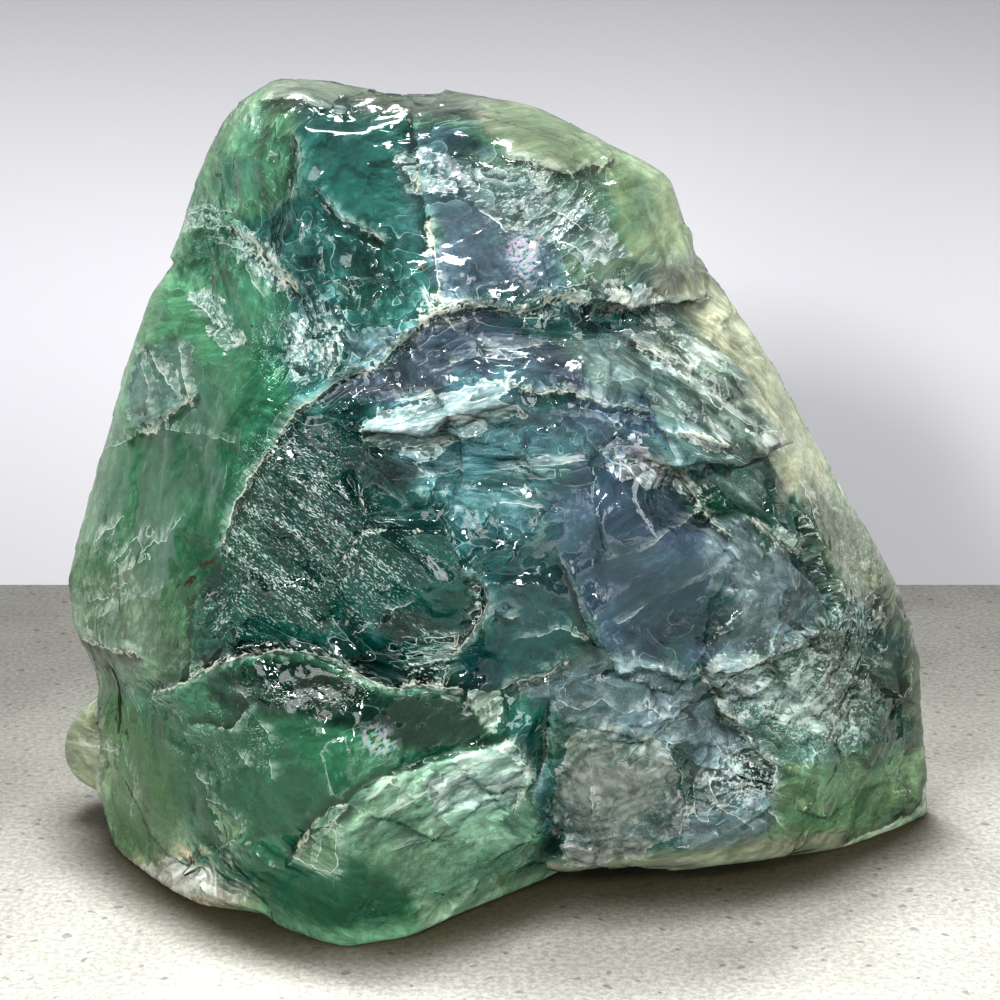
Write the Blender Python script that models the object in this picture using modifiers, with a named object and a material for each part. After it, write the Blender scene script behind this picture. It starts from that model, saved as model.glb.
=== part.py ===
"""A rough fluorite specimen: one broken crystal chunk with worn outer edges, standing on a flat base.

Metres, +Z up. The broad broken face looks along -Y, +X is to its right, and the origin is at the
middle of the underside. The stone is a union of angular lumps with shallow shell-shaped chips
struck from it, and its edges are then worn: hardly on the broken face, well on the rim and back.
"""

import bmesh
import bpy
import numpy as np
from mathutils import Vector, noise

MM = 0.001

# Driving dimensions, in millimetres.
GRAIN = 0.9  # how finely the joined lumps are resurfaced before wear
FACE_WEAR_STEPS = 3  # smoothing of the whole surface, which keeps the broken face crisp
RIM_WEAR_STEPS = 14  # further smoothing where the stone was handled, on its rim and back
RIM_STARTS_Y = -4.0  # in the lumps' own frame: in front of this the face is unworn
RIM_FULL_Y = 12.0  # behind this it is fully worn
SWELL_HEIGHT = 0.5  # slow undulation of the worn surface
SWELL_SPAN = 13.0
CHIP_TURN = 0.35  # radians about the vertical, so that a chip's facets don't line up with the axes
FACET_BUDGET = 9400  # triangles in the finished solid

FLUORITE_GREEN = (0.10, 0.27, 0.21, 1.0)

# Each lump is the convex hull of these corners: x to the right, y into the depth, z up from the
# underside, in millimetres.
LUMPS = {
    "trunk": [
        # left side, from the shoulder down
        (-45.5, 14, 81), (-50, 15, 68.5), (-53.5, 17, 58), (-59.7, 20, 38), (-59.7, 21, 32.5),
        (-55.5, 23, 22),
        # right side, from the notch down
        (27, 10, 83), (33.7, 10, 73.5), (39.6, 11, 61), (48.9, 14, 47.3), (56, 20, 36.5),
        (59.4, 24, 27), (61.3, 28, 14), (62.2, 31, 5), (62.2, 32, -4),
        # the ridge between the left flank and the broken face
        (-18, -11, 75), (-28, -14, 64), (-38, -11, 45), (-41, -8, 32),
        # the broken face
        (8, -7, 78), (-6, -13, 71), (10, -17, 63), (22, -13.5, 60), (33, -8, 50), (43, 2, 38),
        (7, -18, 50), (18, -15, 36), (-4, -17, 38), (43, 8, 14), (26, -4, 15), (10, -8, 16),
        # the back
        (-46, 32, 66), (-50, 36, 30), (-48, 38, -4), (-26, 42, 76), (8, 42, 66), (-14, 46, 30),
        (12, 48, -4), (44, 38, 26), (56, 40, -4), (26, 30, 66), (12, 30, 86),
        # the underside, set back behind the arch
        (52, 23, -4), (30, 17, -4), (8, 17, -4),
    ],
    "crown": [
        # the outline, from the left shoulder over the top to the right notch
        (-44, 14, 81), (-40, 13, 92), (-36.5, 13, 99.3), (-33, 12, 104), (-28.5, 12, 107.6),
        (4.5, 10, 104.3), (8.5, 10, 102.6), (16.3, 10, 98.3), (21.8, 10, 95), (23.2, 10, 90),
        (24, 9, 83.5),
        # the front, leaning out to the shelf that overhangs the trunk
        (24.5, 2, 80.5), (15, -6, 81), (7, -11, 81), (-7, -14, 80.7), (-13, -13, 78),
        (-19, -12, 74), (-26, -9, 70), (-24, -1, 102), (4, -1, 100.5), (16, -3, 91),
        # the back, running down into the trunk
        (-43, 28, 82), (-34, 26, 102), (5, 23, 101), (19, 22, 90), (20, 30, 72), (-34, 38, 66),
        (10, 38, 60),
    ],
    "slab": [
        # a raised plate below the shelf, with a broken lower edge
        (-8, -12, 79), (5, -11, 80), (17, -9, 79), (24, -5, 79), (31, -4, 73), (38, -2, 63),
        (30, -10, 61), (23, -14.5, 62), (17, -17.5, 67), (11, -19, 70.5), (2, -19, 73),
        (-5, -19, 70), (-12, -18.5, 67), (-19, -16, 67), (-21, -14, 70), (-14, -13, 76),
        (-12, 2, 66), (20, 4, 64), (28, 6, 60),
    ],
    "dome": [
        # a blunt bulge on the right of the broken face
        (14, -17.5, 62), (25, -14, 61), (33, -9.5, 54), (41, -2, 45), (44, 2, 38), (41, 3, 30),
        (30, -6, 30), (19, -14, 34), (13, -17.3, 42), (12, -18.5, 54), (19, -18.7, 54),
        (26, -15.5, 48), (33, -9.5, 42), (24, -13, 38), (12, -2, 60), (34, 8, 46), (14, -2, 36),
    ],
    "lobe": [
        # the nearest lump, low on the left, with a sloping top rim
        (-48, 8, 28), (-40, -6, 33.5), (-31, -15, 39), (-24, -18, 40.5), (-15, -21, 37),
        (-7, -20, 36), (4.5, -15, 34), (-20, -24.5, 23), (-33, -13, 12), (-12, -22.5, 26),
        (3, -18, 28), (5.5, -10, 17), (-30, 12, 36),
        (-28.5, -6, -3), (-25.5, -8.5, -3), (-19.5, -13, -3), (-14, -11, -3), (-5, -1, -3),
        (4.5, 9, -3), (9, 14, -3), (-34, 12, -3), (-30, 30, -3), (4, 30, -3), (4, 30, 20),
    ],
    "lobe_side": [
        (-56.5, 24, 21), (-48, 8, 28), (-40, -6, 33.5), (-33.5, -12, 26), (-45, 0, 14),
        (-33, -12, 11), (-51.5, 12, 15), (-56, 20, 7), (-56, 27, -3), (-53, 17, -3),
        (-48, 9, -3), (-41.5, 1.5, -3), (-33, -1.5, -3), (-26, -4, -3), (-40, 36, -3), (-40, 36, 16), (-28, 8, 30),
        (-16, 32, -3), (-16, 32, 18), (-20, 8, -3),
    ],
    "arch": [
        (6, -2, 5), (13, 0, 5), (27, 1, 4.8), (40, 8, 2.5), (12, -9, 20), (28, -5, 18),
        (44, 6, 18), (8, 20, 3), (42, 24, 2), (10, 16, 30), (42, 20, 30),
    ],
    "knob": [
        (-57, 26, 20), (-60, 27, 17), (-63, 28, 13.5), (-63.5, 29, 9.5), (-62, 29, 6),
        (-58, 28, 3.5), (-59, 36, 17), (-61, 37, 8), (-48, 26, 22), (-48, 26, 4), (-48, 36, 18),
        (-48, 38, 4),
    ],
    "back_slab": [
        (-24, 44, 62), (-33, 44, 50), (-38, 44, 30), (-34, 46, 14), (-8, 49.5, 52), (2, 50.5, 18),
        (12, 47, 56), (24, 46, 46), (33, 45, 28), (30, 46, 10), (-30, 26, 44), (30, 24, 34),
        (-30, 43, -4), (32, 45, -4), (0, 49.5, -4),
    ],
    "back_step": [
        (-4, 46, 74), (14, 46, 70), (30, 43, 52), (40, 42, 36), (42, 42, 20), (10, 48, 52),
        (-10, 46, 60), (-10, 20, 60), (30, 20, 40), (4, 20, 80), (36, 30, 10),
    ],
}

# Chips: the middle and the three half-widths of the ellipsoid struck out, in the same frame.
CHIPS = {
    "below_shelf": ((-5, -27, 67), (15, 9.5, 6)),
    "right_trough": ((29, -26, 59), (12, 17.5, 5.5)),
    "face_window": ((15, -25, 17), (11, 16.5, 11)),
    "right_low": ((40, -30, 25), (17, 29, 12)),
    "lobe_edge": ((-1, -30, 25), (10, 10, 7)),
    "lobe_left": ((-39, -25, 19), (11, 14.5, 13)),
    "crown_left": ((-36, -16, 92), (14, 15, 12)),
    "crown_right": ((12, -18, 91), (16, 12.5, 7)),
    "back_high": ((-8, 50, 92), (26, 20, 18)),
    "back_right": ((48, 62, 44), (26, 26, 26)),
    "back_left": ((-62, 56, 48), (22, 24, 24)),
    "back_low": ((36, 66, 6), (26, 25, 16)),
}


def cleared_scene():
    for obj in list(bpy.data.objects):
        bpy.data.objects.remove(obj, do_unlink=True)


def new_collection(name, hidden=False):
    made = bpy.data.collections.new(name)
    bpy.context.scene.collection.children.link(made)
    made.hide_render = hidden
    return made


def object_from(shape, name, collection):
    """An object that holds the given bmesh, which is freed."""
    bmesh.ops.recalc_face_normals(shape, faces=shape.faces)
    mesh = bpy.data.meshes.new(name)
    shape.to_mesh(mesh)
    shape.free()
    obj = bpy.data.objects.new(name, mesh)
    collection.objects.link(obj)
    return obj


def hull_of(name, corners, collection):
    """The convex hull of corners given in millimetres."""
    shape = bmesh.new()
    for corner in corners:
        shape.verts.new(Vector(corner) * MM)
    made = bmesh.ops.convex_hull(shape, input=shape.verts)
    inside = set(made["geom_interior"]) | set(made["geom_unused"])
    loose = [element for element in inside if isinstance(element, bmesh.types.BMVert)]
    bmesh.ops.delete(shape, geom=loose, context="VERTS")
    return object_from(shape, name, collection)


def chip_cutter(name, middle, half_widths, collection):
    """A slightly turned ellipsoid that strikes one chip."""
    shape = bmesh.new()
    bmesh.ops.create_icosphere(shape, subdivisions=3, radius=MM)
    cutter = object_from(shape, name, collection)
    cutter.location = Vector(middle) * MM
    cutter.scale = half_widths
    cutter.rotation_euler = (0, 0, CHIP_TURN)
    cutter.display_type = "WIRE"
    return cutter


def add_boolean(obj, operation, other):
    step = obj.modifiers.new(other.name, "BOOLEAN")
    step.operation = operation
    step.object = other


def baked(obj):
    """Replaces obj's mesh by what its modifiers make of it."""
    graph = bpy.context.evaluated_depsgraph_get()
    mesh = bpy.data.meshes.new_from_object(obj.evaluated_get(graph))
    obj.modifiers.clear()
    obj.data = mesh


def add_smoothing(obj, name, steps, group=""):
    wear = obj.modifiers.new(name, "SMOOTH")
    wear.factor = 0.5
    wear.iterations = steps
    wear.vertex_group = group


def weigh_rim(obj):
    """A vertex group that grows from 0 on the broken face to 1 on the worn rim and back."""
    group = obj.vertex_groups.new(name="rim")
    for vertex in obj.data.vertices:
        share = (vertex.co.y / MM - RIM_STARTS_Y) / (RIM_FULL_Y - RIM_STARTS_Y)
        group.add([vertex.index], min(max(share, 0.0), 1.0), "REPLACE")


def swell(obj):
    """Slow undulation along the surface normal."""
    normals = [vertex.normal.copy() for vertex in obj.data.vertices]
    for vertex, normal in zip(obj.data.vertices, normals):
        height = noise.noise(vertex.co / (SWELL_SPAN * MM)) * SWELL_HEIGHT * MM
        vertex.co += normal * height


def cut_flat(obj):
    """Cuts the stone off at the underside and closes the cut with one flat face."""
    shape = bmesh.new()
    shape.from_mesh(obj.data)
    cut = bmesh.ops.bisect_plane(
        shape,
        geom=shape.verts[:] + shape.edges[:] + shape.faces[:],
        plane_co=(0, 0, 0),
        plane_no=(0, 0, -1),
        clear_outer=True,
    )
    rim = [element for element in cut["geom_cut"] if isinstance(element, bmesh.types.BMEdge)]
    bmesh.ops.contextual_create(shape, geom=rim)
    bmesh.ops.recalc_face_normals(shape, faces=shape.faces)
    shape.to_mesh(obj.data)
    shape.free()


def centre_on_base(obj):
    """Moves the mesh so that the origin is under the middle of its bounding box."""
    points = np.array([vertex.co for vertex in obj.data.vertices])
    low, high = points.min(axis=0), points.max(axis=0)
    to_origin = Vector((-(low[0] + high[0]) / 2, -(low[1] + high[1]) / 2, -low[2]))
    print("centred by", [round(value / MM, 3) for value in to_origin])
    for vertex in obj.data.vertices:
        vertex.co += to_origin


def fluorite_material():
    material = bpy.data.materials.new("fluorite")
    material.use_nodes = True
    shader = material.node_tree.nodes["Principled BSDF"]
    shader.inputs["Base Color"].default_value = FLUORITE_GREEN
    shader.inputs["Roughness"].default_value = 0.22
    shader.inputs["Metallic"].default_value = 0.0
    shader.inputs["IOR"].default_value = 1.434
    return material


def main():
    cleared_scene()
    specimen = new_collection("fluorite_specimen")
    helpers = new_collection("cutters", hidden=True)
    stone = hull_of("trunk", LUMPS["trunk"], specimen)
    stone.name = "fluorite"
    tools = [hull_of(name, corners, helpers) for name, corners in LUMPS.items() if name != "trunk"]
    for lump in tools:
        add_boolean(stone, "UNION", lump)
    for name, (middle, half_widths) in CHIPS.items():
        cutter = chip_cutter(name, middle, half_widths, helpers)
        add_boolean(stone, "DIFFERENCE", cutter)
        tools.append(cutter)
    resurface = stone.modifiers.new("resurface", "REMESH")
    resurface.mode = "VOXEL"
    resurface.voxel_size = GRAIN * MM
    baked(stone)
    for tool in tools:
        bpy.data.objects.remove(tool, do_unlink=True)

    weigh_rim(stone)
    add_smoothing(stone, "face_wear", FACE_WEAR_STEPS)
    add_smoothing(stone, "rim_wear", RIM_WEAR_STEPS, "rim")
    baked(stone)
    swell(stone)

    thin = stone.modifiers.new("facets", "DECIMATE")
    triangles = sum(len(face.vertices) - 2 for face in stone.data.polygons)
    thin.ratio = FACET_BUDGET / triangles
    baked(stone)
    cut_flat(stone)
    centre_on_base(stone)

    stone.data.materials.clear()
    stone.data.materials.append(fluorite_material())
    stone.data.shade_smooth()


main()
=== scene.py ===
"""The looks of a rough fluorite chunk: its fine broken surface, its crystal material and a plain stage.

Places on the broken face are given as pixels of the 1000 x 1000 frame that the camera sees. Each is
carried onto the surface by projecting the surface's own points through that camera. Sizes are in
millimetres, unless a comment says otherwise. The sides and the back, which that camera doesn't see,
take the same features by rule.
"""

import bpy
import math
import numpy as np
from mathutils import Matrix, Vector


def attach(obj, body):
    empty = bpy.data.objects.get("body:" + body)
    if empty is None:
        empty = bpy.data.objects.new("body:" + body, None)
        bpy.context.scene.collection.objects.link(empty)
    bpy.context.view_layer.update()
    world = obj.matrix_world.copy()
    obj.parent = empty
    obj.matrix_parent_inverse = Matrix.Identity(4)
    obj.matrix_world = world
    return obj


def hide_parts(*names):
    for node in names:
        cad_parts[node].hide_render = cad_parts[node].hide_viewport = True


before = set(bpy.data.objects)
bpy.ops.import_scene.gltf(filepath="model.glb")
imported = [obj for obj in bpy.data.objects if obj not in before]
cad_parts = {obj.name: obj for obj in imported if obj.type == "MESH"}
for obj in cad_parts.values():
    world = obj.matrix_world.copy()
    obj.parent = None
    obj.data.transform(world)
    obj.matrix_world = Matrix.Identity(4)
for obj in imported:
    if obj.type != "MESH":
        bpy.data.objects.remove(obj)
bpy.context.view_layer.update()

MM = 0.001

# ---------------------------------------------------------------- the camera

FRAME_SIDE = 1000.0  # pixels
LENS = 85.0
SENSOR = 36.0
PITCH = math.radians(14.0)
CAMERA_AWAY = 300.0
CAMERA_LOOKS_AT = (0.253, -13.117, 55.0)

FORWARD = np.array([0.0, math.cos(PITCH), -math.sin(PITCH)])
UP = np.array([0.0, math.sin(PITCH), math.cos(PITCH)])
EYE = np.array(CAMERA_LOOKS_AT) - FORWARD * CAMERA_AWAY


def add_camera():
    data = bpy.data.cameras.new("camera")
    data.lens = LENS
    data.sensor_width = SENSOR
    data.clip_start = 0.01
    camera = bpy.data.objects.new("camera", data)
    camera.location = Vector(EYE) * MM
    camera.rotation_euler = (math.pi / 2 - PITCH, 0, 0)
    bpy.context.scene.collection.objects.link(camera)
    bpy.context.scene.camera = camera


def to_pixels(points):
    """The frame's pixels where points, in millimetres, are seen."""
    ray = points - EYE
    per_pixel = (ray @ FORWARD) * SENSOR / LENS / FRAME_SIDE
    across = FRAME_SIDE / 2 + ray[:, 0] / per_pixel
    down = FRAME_SIDE / 2 - (ray @ UP) / per_pixel
    return np.stack([across, down], axis=1)


# ---------------------------------------------------------------- noise and distances


def smoothstep(low, high, value):
    share = np.clip((value - low) / (high - low), 0.0, 1.0)
    return share * share * (3 - 2 * share)


def mix(a, b, share):
    return a + (b - a) * share


class Lattice:
    """Gradient noise and cell noise on a repeatable random lattice."""

    def __init__(self, seed):
        random = np.random.default_rng(seed)
        self.order = random.permutation(256)
        steep = random.normal(size=(256, 3))
        self.slopes = steep / np.linalg.norm(steep, axis=1, keepdims=True)
        self.jitter = random.uniform(0.05, 0.95, size=(256, 3))

    def pick(self, cell):
        row = self.order[cell[:, 0] & 255]
        row = self.order[(row + cell[:, 1]) & 255]
        return self.order[(row + cell[:, 2]) & 255]

    def noise(self, points):
        """Smooth noise, about -1 to 1, whose lumps are one unit wide."""
        cell = np.floor(points).astype(np.int64)
        inside = points - cell
        fade = inside ** 3 * (inside * (inside * 6 - 15) + 10)
        total = np.zeros(len(points))
        for corner in np.ndindex(2, 2, 2):
            corner = np.array(corner)
            weight = np.prod(np.where(corner == 1, fade, 1 - fade), axis=1)
            slope = self.slopes[self.pick(cell + corner)]
            total += weight * np.einsum("ij,ij->i", slope, inside - corner)
        return total * 1.7

    def clouds(self, points, size, octaves):
        """Several octaves of noise; size is the width of the largest lumps."""
        total = np.zeros(len(points))
        for octave in range(octaves):
            total += self.noise(points * (2 ** octave / size) + 17.3 * octave) / 2 ** octave
        return total / 1.6

    def drift(self, points, size, octaves, apart, count):
        """Several unlike clouds at each point, one to a column."""
        return np.stack([self.clouds(points + apart * k, size, octaves) for k in range(count)], axis=1)

    def fractal(self, points, size, fade, seed):
        """Three octaves like the shader's own noise, 0 to 1 about 0.5; fade is how fast they die away."""
        shares = [fade ** octave for octave in range(3)]
        total = sum(share * self.noise(points * 2 ** octave / size + 29.3 * (octave + seed))
                    for octave, share in enumerate(shares))
        return 0.5 + 0.40 * total / sum(shares)

    def cells(self, points, size):
        """For each point: the id of the nearest scattered centre, and the way from it."""
        scaled = points / size
        base = np.floor(scaled).astype(np.int64)
        nearest = np.full(len(points), np.inf)
        name = np.zeros(len(points), np.int64)
        away = np.zeros_like(points)
        for step in np.ndindex(3, 3, 3):
            cell = base + np.array(step) - 1
            found = self.pick(cell)
            offset = scaled - cell - self.jitter[found]
            distance = np.einsum("ij,ij->i", offset, offset)
            closer = distance < nearest
            nearest[closer] = distance[closer]
            name[closer] = found[closer]
            away[closer] = offset[closer]
        return name, away * size


def distance_to_line(pixels, line):
    """(distance, side) to an open line; side is +1 on the left of the way the line runs."""
    nearest = np.full(len(pixels), np.inf)
    side = np.ones(len(pixels))
    for start, end in zip(line[:-1], line[1:]):
        start, end = np.array(start, float), np.array(end, float)
        run = end - start
        rel = pixels - start
        share = np.clip(rel @ run / (run @ run), 0.0, 1.0)
        gap = np.hypot(*(rel - share[:, None] * run).T)
        turn = np.where(run[0] * rel[:, 1] - run[1] * rel[:, 0] < 0, 1.0, -1.0)
        closer = gap < nearest
        nearest[closer] = gap[closer]
        side[closer] = turn[closer]
    return nearest, side


def beyond_ends(pixels, line):
    """How far a point lies past either end of an open line, along the way it runs there."""
    past = np.zeros(len(pixels))
    for end, before in ((line[0], line[1]), (line[-1], line[-2])):
        way = np.subtract(end, before) / np.linalg.norm(np.subtract(end, before))
        near = np.linalg.norm(pixels - end, axis=1) < 40.0
        past[near] = np.maximum(past[near], (pixels[near] - end) @ way)
    return past


def depth_in_outline(pixels, outline):
    """Distance to a closed outline, positive inside it."""
    closed = list(outline) + [outline[0]]
    gap, _ = distance_to_line(pixels, closed)
    inside = np.zeros(len(pixels), bool)
    across, down = pixels.T
    for (ax, ay), (bx, by) in zip(closed[:-1], closed[1:]):
        if ay == by:
            continue
        spans = (down > min(ay, by)) & (down <= max(ay, by))
        crossing = ax + (down - ay) * (bx - ax) / (by - ay)
        inside ^= spans & (across < crossing)
    return np.where(inside, gap, -gap)


def spot(pixels, centre, radii, turn):
    """1 at the middle of a soft ellipse and 0 at its edge; turn is degrees clockwise as seen."""
    angle = math.radians(turn)
    rel = pixels - np.array(centre, float)
    along = rel @ np.array([math.cos(angle), math.sin(angle)])
    across = rel @ np.array([-math.sin(angle), math.cos(angle)])
    return 1 - smoothstep(0.35, 1.15, np.hypot(along / radii[0], across / radii[1]))


# ---------------------------------------------------------------- colours


def srgb(red, green, blue):
    value = np.array([red, green, blue]) / 255.0
    return np.where(value <= 0.04045, value / 12.92, ((value + 0.055) / 1.055) ** 2.4)


DEEP_TEAL = srgb(16, 66, 62)
TEAL = srgb(38, 116, 114)
POOL = srgb(30, 96, 96)
EMERALD = srgb(48, 128, 88)
DEEP_GREEN = srgb(20, 78, 56)
LEAF = srgb(96, 158, 112)
SPRING = srgb(140, 186, 136)
MINT = srgb(146, 166, 154)
AQUA = srgb(98, 170, 156)
VIOLET = srgb(104, 116, 140)
DUSK = srgb(66, 88, 112)
SMOKE = srgb(120, 134, 132)
LILAC = srgb(200, 200, 208)
CREAM = srgb(226, 228, 206)
PALE = srgb(190, 208, 186)
RIM = srgb(186, 204, 180)
RUST = srgb(56, 40, 26)

# ---------------------------------------------------------------- the face, feature by feature

# The stone's outline as the camera sees it.
OUTLINE = [(282, 74), (350, 82), (450, 93), (511, 98), (546, 108), (607, 139), (666, 174), (678, 220),
           (686, 258), (718, 285), (756, 341), (799, 430), (835, 494), (880, 552), (907, 604), (923, 685),
           (928, 801), (913, 823), (846, 843), (773, 861), (662, 866), (551, 870), (495, 901), (426, 924),
           (347, 948), (280, 921), (259, 901), (184, 900), (130, 866), (100, 823), (98, 796), (66, 767),
           (61, 754), (69, 725), (97, 698), (101, 690), (72, 629), (71, 582), (104, 444), (144, 309),
           (182, 224), (217, 139), (251, 92)]

# The broken face in large fields: colour, how milky (0 clear to 1 opaque), how soft the border is in
# pixels, and the outline. Later fields lie over earlier ones.
FIELDS = {
    "flank": (srgb(49, 121, 77), 0.5, 8, [
        (150, 300), (206, 206), (240, 215), (266, 250), (290, 291), (296, 330), (284, 380), (293, 415),
        (273, 437), (264, 455), (251, 477), (240, 502), (231, 520), (215, 560), (196, 600), (195, 640),
        (190, 671), (153, 690), (101, 695), (50, 640), (50, 570), (90, 420), (120, 320)]),
    "flank_top": (srgb(110, 182, 133), 0.5, 24, [
        (150, 300), (206, 206), (240, 215), (266, 250), (290, 291), (296, 330), (280, 380), (235, 420),
        (130, 410), (110, 380)]),
    "flank_low": (srgb(95, 125, 85), 0.6, 24, [
        (50, 560), (120, 575), (190, 610), (192, 672), (101, 695), (50, 640)]),
    "flank_strip": (srgb(46, 148, 99), 0.4, 6, [
        (262, 335), (290, 345), (284, 400), (262, 455), (232, 510), (216, 520), (224, 450), (240, 400)]),
    "crown_green": (srgb(118, 170, 123), 0.45, 10, [
        (196, 206), (207, 130), (245, 75), (285, 75), (300, 112), (297, 140), (300, 200), (255, 222),
        (235, 226)]),
    "crown_teal": (srgb(69, 146, 129), 0.35, 6, [
        (297, 105), (345, 112), (400, 118), (418, 170), (428, 251), (436, 305), (403, 342), (386, 362),
        (347, 375), (311, 399), (293, 415), (284, 380), (296, 330), (290, 291), (258, 245), (231, 224),
        (297, 200)]),
    "violet": (srgb(91, 118, 123), 0.5, 12, [
        (415, 124), (470, 140), (506, 190), (560, 240), (573, 298), (513, 309), (436, 309), (428, 251)]),
    "top_rim": (srgb(104, 111, 98), 0.6, 8, [
        (264, 70), (345, 74), (450, 83), (511, 88), (500, 125), (440, 118), (342, 112), (264, 98)]),
    "dome": (srgb(161, 167, 138), 0.6, 10, [
        (470, 112), (511, 88), (546, 98), (612, 130), (645, 165), (612, 182), (566, 178), (506, 157)]),
    "crown_frost": (srgb(110, 135, 110), 0.5, 10, [
        (455, 150), (506, 157), (566, 178), (612, 182), (622, 245), (648, 280), (600, 298), (573, 298),
        (560, 240), (506, 190)]),
    "band": (srgb(178, 197, 148), 0.55, 6, [
        (607, 130), (676, 170), (690, 220), (698, 262), (655, 285), (622, 245), (612, 182)]),
    "notch": (srgb(144, 148, 130), 0.6, 10, [
        (648, 270), (700, 250), (728, 285), (700, 300), (655, 300)]),
    "plate": (srgb(96, 108, 121), 0.45, 4, [
        (436, 309), (513, 311), (560, 345), (600, 398), (551, 394), (510, 376), (466, 388), (404, 408),
        (347, 400), (311, 399), (347, 375), (386, 362), (403, 342)]),
    "recess": (srgb(81, 138, 129), 0.2, 6, [
        (488, 309), (551, 302), (625, 309), (620, 338), (560, 345), (520, 330)]),
    "slope": (srgb(117, 139, 127), 0.55, 6, [
        (560, 345), (625, 330), (662, 303), (728, 280), (766, 341), (809, 430), (845, 494), (890, 552),
        (850, 560), (800, 500), (740, 462), (680, 425), (640, 408), (600, 398)]),
    "slope_out": (srgb(250, 249, 208), 0.7, 20, [
        (700, 300), (728, 280), (766, 341), (809, 430), (845, 494), (880, 540), (840, 530), (790, 470),
        (745, 410), (715, 350)]),
    "trough": (srgb(179, 219, 210), 0.3, 8, [
        (649, 415), (700, 432), (770, 470), (760, 505), (700, 480), (660, 455)]),
    "main": (srgb(116, 168, 175), 0.4, 14, [
        (363, 405), (466, 388), (510, 376), (551, 394), (649, 410), (660, 455), (598, 446), (562, 470),
        (555, 540), (530, 530), (450, 530), (400, 470)]),
    "main_violet": (srgb(63, 79, 98), 0.4, 14, [
        (530, 392), (610, 402), (655, 415), (650, 446), (598, 440), (560, 452), (530, 436)]),
    "dark": (srgb(4, 83, 72), 0.12, 8, [
        (293, 415), (363, 405), (400, 470), (450, 530), (490, 575), (492, 600), (470, 640), (457, 660),
        (420, 688), (380, 688), (329, 659), (273, 648), (215, 662), (192, 672), (195, 600), (231, 520),
        (264, 455)]),
    "clear": (srgb(21, 101, 112), 0.25, 14, [
        (450, 530), (530, 530), (555, 540), (571, 589), (598, 649), (566, 664), (506, 685), (462, 691),
        (450, 670), (484, 613), (490, 575)]),
    "violet_dome": (srgb(71, 98, 118), 0.45, 12, [
        (562, 470), (598, 446), (650, 455), (710, 510), (802, 556), (832, 600), (815, 640), (740, 655),
        (690, 668), (640, 665), (598, 649), (571, 589), (555, 540)]),
    "dome_right": (srgb(142, 168, 167), 0.5, 18, [
        (700, 505), (748, 520), (811, 556), (835, 600), (815, 640), (740, 650), (715, 600)]),
    "right_rim": (srgb(146, 155, 125), 0.65, 8, [
        (811, 490), (845, 494), (890, 552), (917, 604), (920, 640), (880, 630), (850, 600), (825, 560)]),
    "right_frost": (srgb(97, 137, 116), 0.45, 12, [
        (735, 650), (815, 640), (850, 600), (880, 630), (920, 640), (925, 760), (900, 770), (860, 770),
        (780, 760), (750, 740), (730, 700)]),
    "right_edge": (srgb(50, 69, 35), 0.3, 6, [
        (900, 600), (935, 680), (940, 765), (908, 770), (900, 680)]),
    "right_low": (srgb(152, 194, 131), 0.4, 16, [
        (780, 760), (860, 768), (935, 762), (935, 820), (846, 853), (770, 850), (765, 800)]),
    "foot": (srgb(135, 160, 160), 0.45, 8, [
        (506, 685), (566, 664), (598, 649), (690, 668), (735, 650), (730, 700), (750, 740), (780, 760),
        (765, 850), (690, 852), (680, 832), (687, 796), (656, 745), (573, 729), (550, 705)]),
    "foot_band": (srgb(176, 169, 136), 0.6, 8, [
        (551, 862), (690, 848), (846, 830), (856, 860), (773, 875), (662, 880), (551, 884)]),
    "lobe": (srgb(71, 165, 110), 0.35, 6, [
        (101, 695), (153, 694), (215, 662), (273, 648), (329, 659), (380, 688), (462, 691), (506, 737),
        (526, 767), (551, 880), (495, 915), (426, 940), (347, 965), (280, 935), (184, 915), (115, 870),
        (85, 823), (85, 796)]),
    "lobe_dark": (srgb(2, 66, 45), 0.1, 8, [
        (205, 672), (273, 655), (329, 668), (380, 695), (470, 700), (490, 740), (430, 752), (370, 735),
        (300, 715), (215, 700)]),
    "lobe_left": (srgb(98, 152, 86), 0.5, 22, [
        (85, 690), (150, 700), (185, 740), (190, 800), (205, 865), (184, 915), (115, 870), (85, 823)]),
    "lobe_right": (srgb(175, 226, 180), 0.5, 8, [
        (385, 779), (470, 754), (506, 737), (526, 767), (551, 880), (495, 911), (426, 934), (400, 880),
        (340, 850), (330, 823)]),
    "lobe_foot": (srgb(236, 199, 153), 0.6, 12, [
        (110, 850), (204, 868), (259, 901), (245, 925), (184, 915), (115, 880)]),
    "knob": (srgb(159, 167, 120), 0.6, 6, [
        (45, 754), (60, 715), (97, 690), (103, 740), (98, 800), (60, 780)]),
}

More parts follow.
